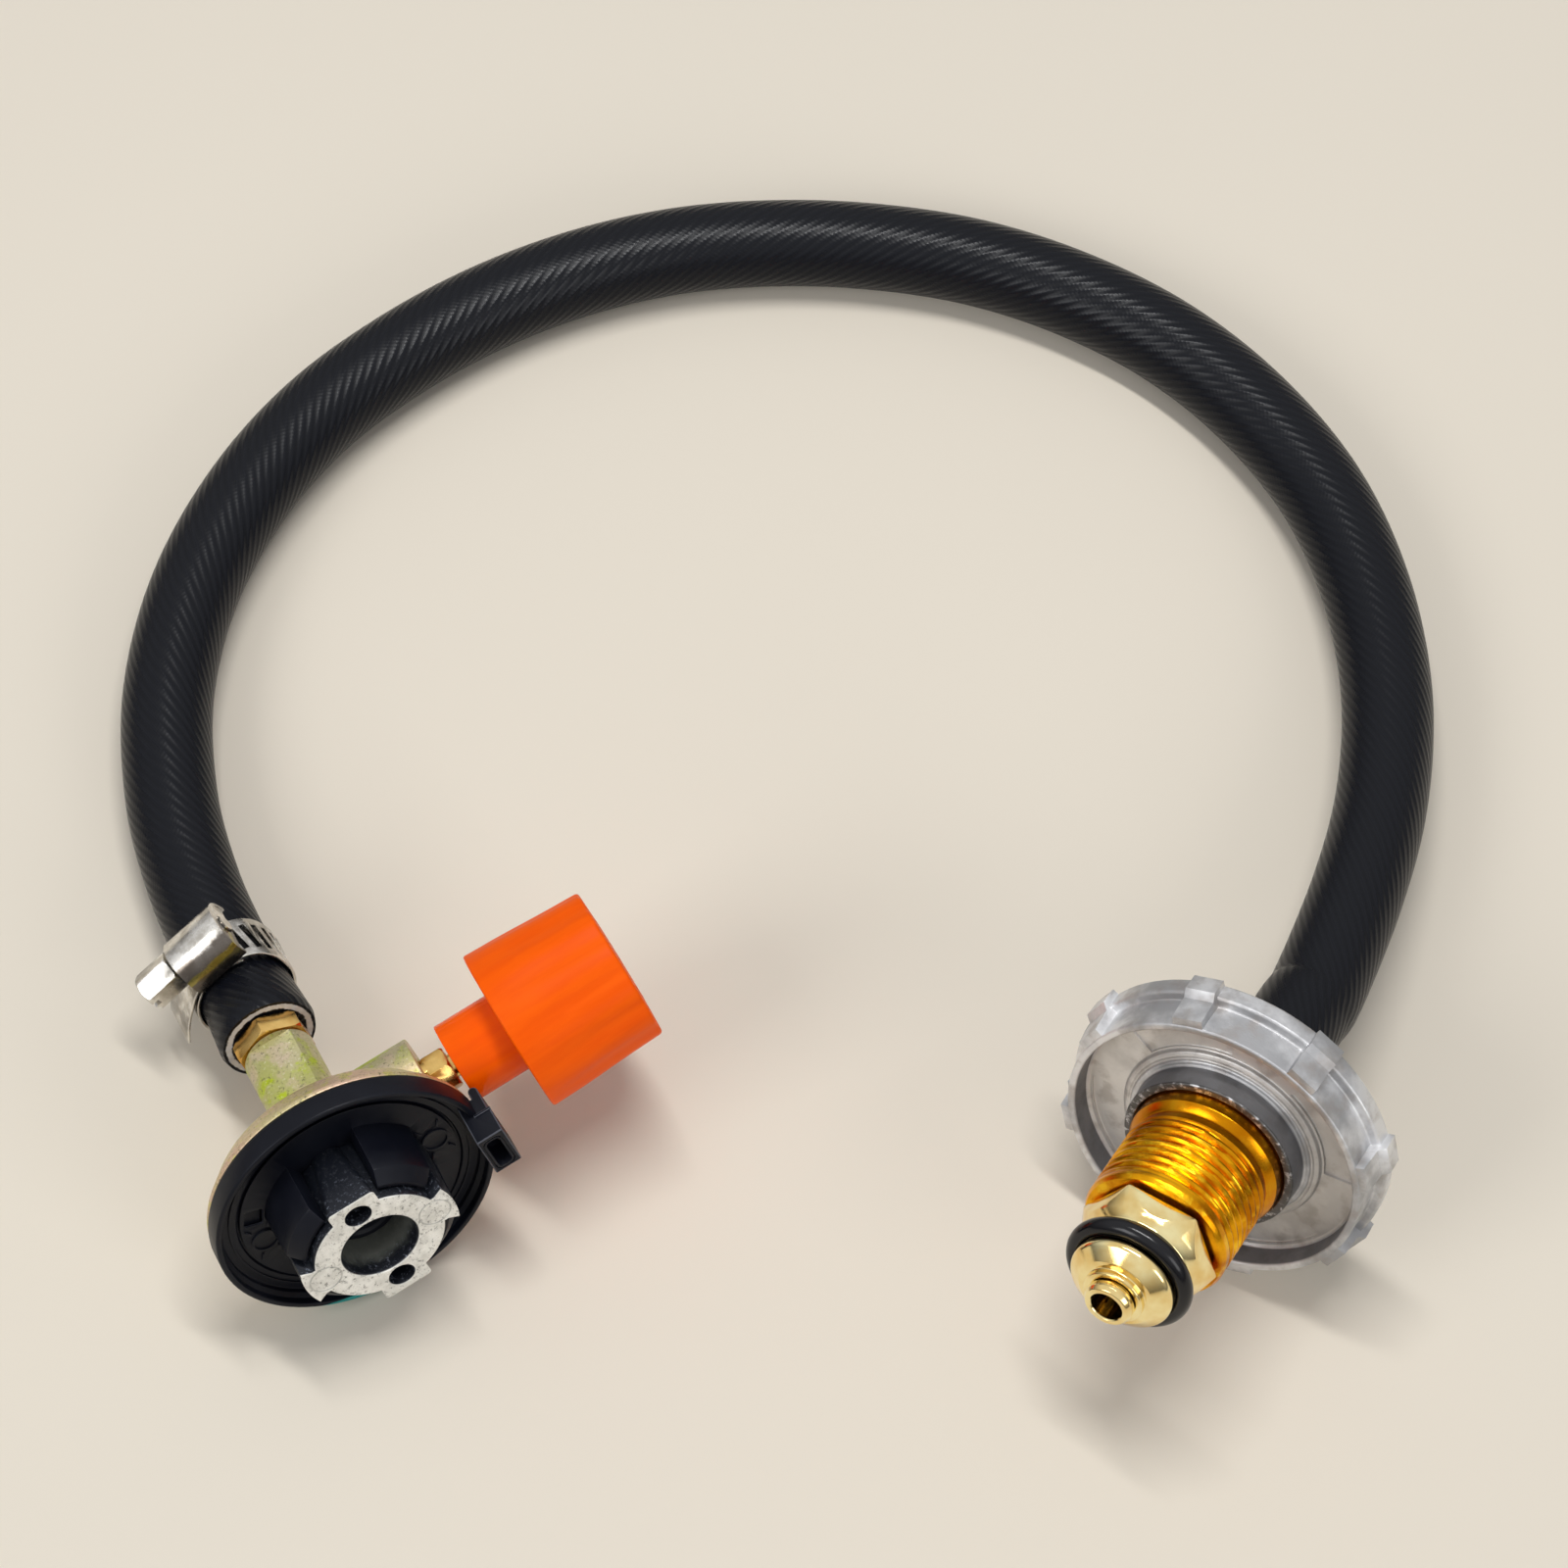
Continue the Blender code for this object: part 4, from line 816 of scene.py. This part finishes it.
def make_boss_screws():
    head = outline([
        (0.0, -7.9), (1.05, -7.9), (1.05, -1.8), (1.8, -1.8, 0.15), (1.8, 0.0, 0.5), (0.0, 0.0),
    ])
    for name, side in (("boss_screw_lower", -1), ("boss_screw_upper", 1)):
        shape = carved(
            turned(head, 32),
            ("DIFFERENCE", block((-1.0, -0.2, -0.8), (1.0, 0.2, 0.4))),
            ("DIFFERENCE", block((-0.2, -1.0, -0.8), (0.2, 1.0, 0.4))),
        )
        moved(shape, shifted(0, side * SCREW_REACH, 0))
        placed(name + "_fine", shape, HEAD, steel_look, "hose_assembly", name)


def make_guide_collar():
    """A thin flange with raised marks, and four guides that stand around the boss."""
    base = outline([
        (10.35, -3.5), (13.7, -3.5), (13.7, -2.7), (17.3, -2.7), (17.3, -2.4, 0.1), (10.35, -2.4),
    ])
    shape = turned(base)
    steps = []
    half = 21
    section = outline([
        (10.6, -3.0), (13.5, -3.0), (13.5, -2.2), (13.25, 4.8), (13.1, 6.0, 0.3), (11.3, 7.7, 0.3),
        (10.6, 7.7, 0.2), (10.6, 6.9),
    ])
    for index in range(4):
        start = math.radians(45 + 90 * index - half)
        steps.append(("UNION", turned(section, 14, math.radians(2 * half), start)))
    mark_reach = 14.3
    for angle in (0, 176.7):
        at = spun(angle, "Z") @ shifted(mark_reach, 0, 0)
        loop = outline([(1.85, -2.5), (1.85, -2.1), (2.15, -2.1), (2.15, -2.5)])
        steps.append(("UNION", moved(turned(loop, 30, start=0.05), at)))
        for turn in (63, 117, 243, 297):
            tick = block((2.9, -0.15, -2.5), (4.2, 0.15, -2.12))
            steps.append(("UNION", moved(tick, at @ spun(turn, "Z"))))
    notch = block((13.6, -1.6, -3.0), (16.6, 1.6, -1.0))
    softened(notch, 0.4, 3)
    steps.append(("DIFFERENCE", moved(notch, spun(155, "Z"))))
    shape = carved(shape, *steps)
    softened(shape, 0.14, 2, 50)
    placed(
        "collar_moulding", shape, HEAD, black_look,
        "hose_assembly", "guide_collar",
    )


def make_lock_ring():
    """The black dish, and the tab on its rim that turns it."""
    profile = outline([
        (14.0, -3.6), (RING_R, -3.6, 0.2), (RING_R, 0.0, 0.35), (20.8, 0.0, 0.25),
        (20.8, -1.2, 0.1), (20.2, -1.8, 0.1), (20.2, -2.6, 0.2), (17.8, -2.6, 0.1),
        (17.6, -3.0, 0.1), (14.0, -3.0),
    ])
    rib = outline([(18.7, -3.0), (19.0, -3.0), (19.0, -2.35), (18.7, -2.35)])
    tab = outline([
        (19.4, 4.6, 0.5), (19.4, -3.1), (21.9, -3.1), (21.9, -5.0, 0.7), (23.4, -5.0, 0.8),
        (23.4, -0.4), (23.7, -0.1), (23.7, 4.6, 0.5),
    ])
    tab_shape = moved(plate(tab, -2.6, 5.8), spun(90, "X"))
    softened(tab_shape, 0.8, 4)
    pocket = plate(rounded(20.35, 22.6, -4.9, 1.5, 0.8), 0.6, 5.2)
    outer = plate(rounded(19.85, 23.1, -5.4, 2.0, 1.2), 4.3, 5.2)
    inner = plate(rounded(20.05, 22.9, -5.2, 1.8, 1.0), 4.0, 5.4)
    frame_cut = carved(outer, ("DIFFERENCE", inner))
    ridge = block((21.0, 2.4, -0.1), (23.75, 2.85, 0.35))
    steps = [
        ("UNION", turned(rib)),
        ("UNION", tab_shape),
        ("UNION", softened(ridge, 0.1)),
        ("DIFFERENCE", frame_cut),
        ("DIFFERENCE", pocket),
    ]
    shape = carved(turned(profile), *steps)
    softened(shape, 0.12, 2, 60)
    placed(
        "lock_ring_moulding", shape, HEAD, ring_black_look,
        "locking_ring", "lock_ring",
    )


def make_inlet():
    seal = outline([
        (1.9, 0.3), (5.6, 0.3, 0.3), (5.6, 2.3, 0.4), (4.6, 2.3, 0.3), (4.2, 1.9, 0.2),
        (3.4, 1.9, 0.2), (3.0, 2.3, 0.3), (2.2, 2.3), (1.9, 2.0),
    ])
    placed(
        "seal_face", turned(seal, 64), HEAD, black_look,
        "hose_assembly", "inlet_seal",
    )
    pin = outline([
        (0.0, -3.3), (2.6, -3.3, 0.2), (2.6, -2.0, 0.2), (1.1, -2.0, 0.2), (1.1, 2.5, 0.2),
        (0.7, 3.0, 0.2), (0.0, 3.0),
    ])
    placed(
        "opening_pin", turned(pin, 32), HEAD, brass_look, "hose_assembly", "inlet_pin"
    )


def make_spindle_set():
    spindle = outline([
        (0.0, 1.6), (0.5, 1.6, 0.1), (1.9, 4.6, 0.3), (1.9, 37.2, 0.3), (1.4, 37.7), (0.0, 37.7),
    ])
    placed(
        "brass_spindle", turned(spindle, 48), SPINDLE, brass_look,
        "valve_knob", "spindle",
    )
    gland = outline([(SPINDLE_BORE_R, 12.6), (3.2, 12.6), (3.2, 18.5), (SPINDLE_BORE_R, 18.5)])
    chamfer = [(0, 18.2), (3.3, 18.2), (3.6, 18.5), (3.6, 21.3), (3.1, 21.8), (0, 21.8)]
    hexagon = chamfered_hexagon(3.52, 18.2, 21.8, chamfer, 90)
    bore = rod(SPINDLE_BORE_R, 12, 23)
    shape = carved(turned(gland, 48), ("UNION", hexagon), ("DIFFERENCE", bore))
    softened(shape, 0.1)
    placed("gland_hexagon", shape, SPINDLE, brass_look, "hose_assembly", "gland_nut")


def make_knob():
    """A neck and a tapered grip with twelve shallow flutes that fade out at the inner end."""
    end, socket_end = 50.9, 38.0
    neck_r, flutes, flute_depth = 6.35, 12, 0.38
    fluted_from, fading = 34.5, 3.0
    profile = outline([
        (SPINDLE_BORE_R, KNOB_START), (neck_r, KNOB_START, 0.15), (neck_r, KNOB_SHOULDER, 0.15),
        (12.9, KNOB_SHOULDER, 0.35), (12.85, 36.3), (12.72, 39.5), (12.55, 42.5), (12.40, 45.5),
        (12.2, end, 0.6), (6.0, end + 0.25), (0.0, end + 0.3),
    ], 5)
    line = profile + [Vector((0.0, socket_end)), Vector((SPINDLE_BORE_R, socket_end))]
    shape = turned(line, 144)
    for point in shape.verts:
        radius = math.hypot(point.co.x, point.co.y)
        fade = min(1.0, max(0.0, (point.co.z - fluted_from) / fading))
        if radius > 9.0 and fade:
            turn = flutes * math.atan2(point.co.y, point.co.x)
            wave = (0.5 - 0.5 * math.cos(turn)) ** 1.5
            shrink = 1 - flute_depth * wave * fade / radius
            point.co.x *= shrink
            point.co.y *= shrink
    placed(
        "orange_knob", shape, SPINDLE, orange_look, "valve_knob", "knob", 45
    )


def barb_ridges(start):
    """Three saw-tooth ridges as (radius, height), which run back from a distance to the origin."""
    pitch, slope, flat = 5.6, 4.6, 0.5
    points = []
    for index in range(3):
        foot = start + index * pitch
        points += [(BARB_ROOT_R, foot), (BARB_R, foot + slope), (BARB_R, foot + slope + flat)]
    points.append((BARB_ROOT_R, start + 3 * pitch))
    return [(radius, -height) for radius, height in points]


def make_hose_barb():
    stem = barb_ridges(35.8)
    profile = outline([
        (GAS_BORE_R, -24.3), (3.2, -24.3), (3.2, -32.1), (4.5, -32.1), (4.5, -35.2),
    ]) + [Vector(point) for point in stem + [(GAS_BORE_R, stem[-1][1])]]
    chamfer = [(0, -35.2), (5.8, -35.2), (6.25, -34.8), (6.25, -32.5), (5.8, -32.1), (0, -32.1)]
    hexagon = chamfered_hexagon(6.2, -35.2, -32.1, chamfer)
    softened(hexagon, 0.12)
    hexagon = carved(hexagon, ("DIFFERENCE", rod(GAS_BORE_R, -40, -30)))
    shape = carved(turned(profile, 48), ("UNION", hexagon))
    placed("barb_hexagon", shape, HEAD, brass_look, "hose_assembly", "hose_barb")


# ================================================================ hose clamp
BAND_START = math.radians(62)
BAND_END = math.radians(545)


def band_radius(angle):
    """The band's middle: one turn, a climb onto itself, and a free end that bends away."""
    low, high = 7.8, 8.6
    climb_to = TURN + BAND_START - math.radians(12)
    leaves = math.radians(495)
    if angle <= TURN:
        return low
    if angle <= climb_to:
        part = (angle - TURN) / (climb_to - TURN)
        return low + (high - low) * (3 * part**2 - 2 * part**3)
    if angle <= leaves:
        return high
    return high + 2.9 * ((angle - leaves) / math.radians(50)) ** 2


def make_clamp():
    steps, thick, width = 240, 0.5, 8.0
    outer, inner = [], []
    for step in range(steps + 1):
        angle = BAND_START + (BAND_END - BAND_START) * step / steps
        for side, line in ((thick / 2, outer), (-thick / 2, inner)):
            radius = band_radius(angle) + side
            line.append((radius * math.cos(angle), radius * math.sin(angle)))
    strip = plate(outer + inner[::-1], -width / 2, width / 2)
    softened(strip, 0.12, 2, 60)
    slots = []
    for index in range(-7, 4):
        angle = 90 + index * 13.4 - 4
        slot = moved(block((7.9, -0.5, -2.6), (10.4, 0.5, 2.6)), spun(14, "X"))
        slots.append(("DIFFERENCE", moved(slot, spun(angle, "Z"))))
    strip = carved(strip, *slots)
    placed(
        "steel_band", strip, CLAMP, steel_look, "hose_assembly", "clamp_band"
    )

    outer_r, inner_r, half, sill, foot = 5.1, 4.5, 4.8, -1.9, -2.5
    turns = [math.pi * step / 24 for step in range(25)]
    arch = [(outer_r * math.cos(turn), sill + outer_r * math.sin(turn)) for turn in turns]
    hollow = [(inner_r * math.cos(turn), sill + inner_r * math.sin(turn)) for turn in turns]
    section = [
        (outer_r, foot), *arch, (-outer_r, foot), (-inner_r, foot), *hollow[::-1], (inner_r, foot),
    ]
    on_side = spun(90, "Y")
    # The cheeks end inside the shell's wall, so that no two faces lie in one plane.
    cheek = [(4.8 * math.cos(turn), -1.8 + 4.9 * math.sin(turn))
             for turn in (math.pi * (step + 0.5) / 24 for step in range(24))]
    steps = []
    for low in (-4.74, 4.2):
        steps.append(("UNION", moved(plate(cheek, low, low + 0.54), on_side)))
    steps.append(("DIFFERENCE", moved(rod(1.6, -10, 10, steps=32), on_side)))
    shell = moved(plate(section, -half, half), on_side)
    shape = carved(shell, *steps)
    softened(shape, 0.22, 3)
    placed(
        "steel_housing", shape, SADDLE, housing_look,
        "hose_assembly", "clamp_housing",
    )


def make_clamp_screw():
    core, crest, half, ridges = 1.3, 1.9, 3.9, 5
    pitch = 2 * half / ridges
    worm = []
    for index in range(ridges):
        low = -half + index * pitch
        worm += [(core, low), (crest, low + pitch * 0.35), (crest, low + pitch * 0.5)]
    profile = [(0.0, -5.1), (core, -5.1), *worm, (core, half), (core, 6.8), (0.0, 6.8)]
    chamfer = [(0, 5.4), (2.9, 5.4), (3.3, 5.7), (3.3, 10.9), (2.75, 11.4), (0, 11.4)]
    hexagon = chamfered_hexagon(3.23, 5.4, 11.4, chamfer)
    softened(hexagon, 0.15)
    shape = carved(
        turned(profile, 40),
        ("UNION", hexagon),
        ("DIFFERENCE", block((-6, -0.45, 10.2), (6, 0.45, 12))),
    )
    placed(
        "hexagon_screw", shape, CLAMP_SCREW, steel_look,
        "band_screw", "clamp_screw",
    )


# ================================================================ cylinder fitting
def make_handwheel():
    profile = outline([
        (12.2, HUB_BACK), (14.6, HUB_BACK, 0.4), (15.2, -2.2, 0.4), (21.65, -2.2, 0.6),
        (22.25, -4.7, 0.3), (25.0, -4.7, 0.5), (25.0, -1.6, 0.5), (23.45, -1.6, 0.35),
        (23.45, 3.9, 0.35), (22.25, 3.9, 0.3), (22.1, 0.4, 0.4), (21.6, 0.0, 0.3),
        (15.9, 0.0, 0.3), (15.7, 0.65, 0.3),
        (15.1, 0.95, 0.2), (14.6, 0.75, 0.2), (14.4, 1.3, 0.3), (13.9, 1.3, 0.2),
        (13.5, 1.5, 0.2), (13.5, 5.2, 0.3), (12.2, 5.2, 0.2), (12.2, 4.8),
    ])
    grip_line = [
        (22.6, -4.4), (25.9, -4.4), (26.0, -1.4), (24.9, -0.5), (24.6, 3.6), (23.6, 3.75),
        (22.6, 3.6),
    ]
    steps = []
    for index in range(8):
        grip = moved(plate(grip_line, -2.35, 2.35), spun(90, "X"))
        steps.append(("UNION", moved(grip, spun(22.5 + 45 * index, "Z"))))
    for start, end, sunk in ((8, 62, 0.45), (98, 148, 0.3), (186, 238, 0.45), (278, 330, 0.3)):
        sector = outline([
            (16.2, 1.0), (21.2, 1.0), (21.2, -sunk, 0.2), (16.2, -sunk, 0.2), (16.2, 0.99),
        ])[:-1]
        cut = turned(sector, 30, math.radians(end - start), math.radians(start))
        steps.append(("DIFFERENCE", cut))
    shape = carved(turned(profile), *steps)
    softened(shape, 0.3, 3, 50)
    return placed(
        "cast_handwheel", shape, FITTING, zinc_look, "wheel_and_nut", "handwheel"
    )


def thread_radius(height, turn):
    """Radius of the left-hand thread, which fades in from the collar and out at the nose."""
    pitch, root, crest, neck = 1.5, 10.45, 11.24, 10.75
    if height < 9.7:
        return neck
    phase = (height / pitch + turn / TURN) % 1.0
    form = min(1.0, max(0.0, 1.35 - 2.9 * abs(phase - 0.5)))
    fade_in = min(1.0, max(0.0, (height - 9.9) / 0.6))
    fade_out = min(1.0, max(0.0, (21.9 - height) / 1.0))
    lead = 0.40 * min(1.0, max(0.0, (height - 22.6) / 0.7))
    return crest - (1 - form) * (crest - root) * fade_in * fade_out - lead


def make_pol_nut():
    """The threaded sleeve, spun plain and then cut to its thread."""
    first, last = 8.2, NUT_FRONT - 0.2
    rows = 84
    ridge = [(12.5, first + (last - first) * row / rows) for row in range(rows + 1)]
    front = outline([
        (10.0, last), (9.8, NUT_FRONT), (7.5, NUT_FRONT, 0.1), (7.2, 23.2), (7.2, HUB_BACK),
    ])
    back = outline([
        (7.2, HUB_BACK), (11.6, HUB_BACK), (11.9, -4.9), (11.9, 7.0, 0.4), (11.1, 8.0),
    ])
    shape = turned([*[tuple(p) for p in back], *ridge, *[tuple(p) for p in front][1:-1]])
    for point in shape.verts:
        reach = math.hypot(point.co.x, point.co.y)
        if reach > 12.4:
            turn = math.atan2(point.co.y, point.co.x)
            scale = thread_radius(point.co.z, turn) / reach
            point.co.x *= scale
            point.co.y *= scale
    return placed(
        "threaded_nut", shape, FITTING, amber_look, "wheel_and_nut", "pol_nut", 40
    )


def make_pol_nipple():
    tail = barb_ridges(8.5)[::-1]
    start = (GAS_BORE_R, tail[0][1])
    profile = [Vector(point) for point in [start, *tail, (4.3, -7.9), (4.3, -6.1)]]
    profile += outline([
        (6.9, -6.1), (6.9, 24.3), (8.8, 24.3), (8.8, 29.3, 0.2), (6.7, 29.3, 0.2), (6.7, 32.7, 0.2),
        (8.0, 32.7, 0.4), (8.0, 33.9, 0.9), (5.8, 35.5, 0.3), (4.6, 35.5, 0.2), (4.6, 36.6, 0.3),
        (3.4, 36.6), (3.4, 23.5), (GAS_BORE_R, 21.9),
    ], 5)
    half_width = 9.3
    cone = [(0, 24.2), (10.6, 24.2), (10.75, 24.5), (9.3, 27.4), (8.5, 28.95), (0, 28.95)]
    corner = half_width / math.cos(math.pi / 6)
    hexagon = chamfered_hexagon(corner, 24.3, 28.9, cone, 30, AROUND)
    softened(hexagon, 0.1, 2, 14)
    hexagon = carved(hexagon, ("DIFFERENCE", rod(6.9, 20, 40)))
    shape = carved(turned(profile), ("UNION", hexagon))
    return placed(
        "gold_nipple", shape, FITTING, gold_look, "hose_assembly", "pol_nipple", 30
    )


def make_fitting_parts():
    ring_r, cord_r, ring_height = 8.45, 1.45, 31.0
    section = []
    for step in range(24):
        turn = TURN * step / 24
        section.append((ring_r + cord_r * math.cos(turn), ring_height + cord_r * math.sin(turn)))
    o_ring = placed(
        "sealing_ring", turned(section), FITTING, ring_look,
        "hose_assembly", "pol_o_ring", 60,
    )
    bush = outline([
        (2.45, 30.9), (3.1, 30.9), (3.1, 36.9), (3.7, 36.9, 0.1), (3.7, 37.9, 0.2),
        (3.3, 38.6, 0.4), (2.6, 38.6, 0.1), (2.45, 38.4),
    ])
    tip = placed(
        "nose_tip", turned(bush, 64), FITTING, gold_look,
        "hose_assembly", "nose_bush",
    )
    outer, inner, groove = 9.05, 7.55, 0.5
    ferrule = outline([
        (4.6, -6.4), (outer, -6.4, 0.5),
        (outer, -9.2, 0.3), (outer - groove, -9.8, 0.3),
        (outer - groove, -11.2, 0.3), (outer, -11.8, 0.3),
        (outer, -12.6, 0.3), (outer - groove, -13.2, 0.3),
        (outer - groove, -14.6, 0.3), (outer, -15.2, 0.3),
        (outer, -16.5, 0.3), (inner, -16.5), (inner, -7.9), (4.6, -7.9),
    ])
    sleeve = placed(
        "crimped_sleeve", turned(ferrule, 64), FITTING, steel_look,
        "hose_assembly", "ferrule",
    )
    return [o_ring, tip, sleeve]


make_valve_body()
make_centre_boss()
make_boss_screws()
make_guide_collar()
make_lock_ring()
make_inlet()
make_spindle_set()
make_knob()
make_hose_barb()
make_clamp()
make_clamp_screw()
fitting_pieces = [make_handwheel(), make_pol_nut(), make_pol_nipple(), *make_fitting_parts()]

# Sealed inner pieces keep their own solids.
for name, look in (
    ("boss_gasket", ring_look),
    ("spindle_seal", ring_look),
    ("inlet_filter", bronze_look),
    ("check_ball", steel_look),
):
    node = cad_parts[name]
    node.data.materials.clear()
    node.data.materials.append(look)


# ================================================================ floor and light
def make_floor():
    mesh = bpy.data.meshes.new("floor")
    reach = 3.0
    corners = [(-reach, -reach, 0), (reach, -reach, 0), (reach, reach, 0), (-reach, reach, 0)]
    mesh.from_pydata(corners, [], [(0, 1, 2, 3)])
    floor = bpy.data.objects.new("floor", mesh)
    bpy.context.scene.collection.objects.link(floor)
    look = Look("floor", Roughness=0.85, Specular_IOR_Level=0.2, Base_Color=(0.80, 0.73, 0.62))
    mesh.materials.append(look.material)


def add_light(name, place, aim, size, watts):
    data = bpy.data.lights.new(name, "AREA")
    data.shape = "RECTANGLE"
    data.size, data.size_y = size
    data.energy = watts
    light = bpy.data.objects.new(name, data)
    bpy.context.scene.collection.objects.link(light)
    light.location = place
    light.rotation_euler = (Vector(aim) - Vector(place)).to_track_quat("-Z", "Y").to_euler()


make_floor()
add_light("strip", (0.04, 0.17, 1.0), (0.0, 0.12, 0), (0.60, 0.07), 5.0)
add_light("left", (-0.75, -0.45, 0.8), (0, 0.05, 0), (0.5, 0.5), 3.6)
add_light("right", (0.7, -0.75, 0.6), (0, 0.03, 0), (0.5, 0.5), 2.2)


def make_world():
    """A grey light all round, a brighter room for polished metal, and a pale backdrop."""
    world = bpy.data.worlds.new("studio")
    bpy.context.scene.world = world
    world.use_nodes = True
    nodes = Nodes(world.node_tree)
    grey = nodes.tree.nodes["Background"]
    nodes.wire((0.29, 0.30, 0.315), grey.inputs["Color"])
    height = nodes.parts(nodes.add("TexCoord", output="Generated"))[2]
    climb = nodes.add("MapRange", Value=height, From_Min=-0.05, From_Max=0.55)
    shade = nodes.mix(climb, (0.10, 0.095, 0.09), (0.80, 0.80, 0.80))
    room = nodes.add("Background", Color=shade)
    backdrop = nodes.add("Background", Color=(0.85, 0.80, 0.72))
    glossy, seen, glassy = [
        nodes.add("LightPath", output="Is %s Ray" % kind)
        for kind in ("Glossy", "Camera", "Transmission")
    ]
    light = nodes.add("MixShader", plugs={0: glossy, 1: Socket(nodes, grey.outputs[0]), 2: room})
    through = seen.maths("MAXIMUM", glassy)
    whole = nodes.add("MixShader", plugs={0: through, 1: light, 2: backdrop})
    nodes.wire(whole, nodes.tree.nodes["World Output"].inputs["Surface"])


make_world()
bpy.context.scene.view_settings.view_transform = "Standard"
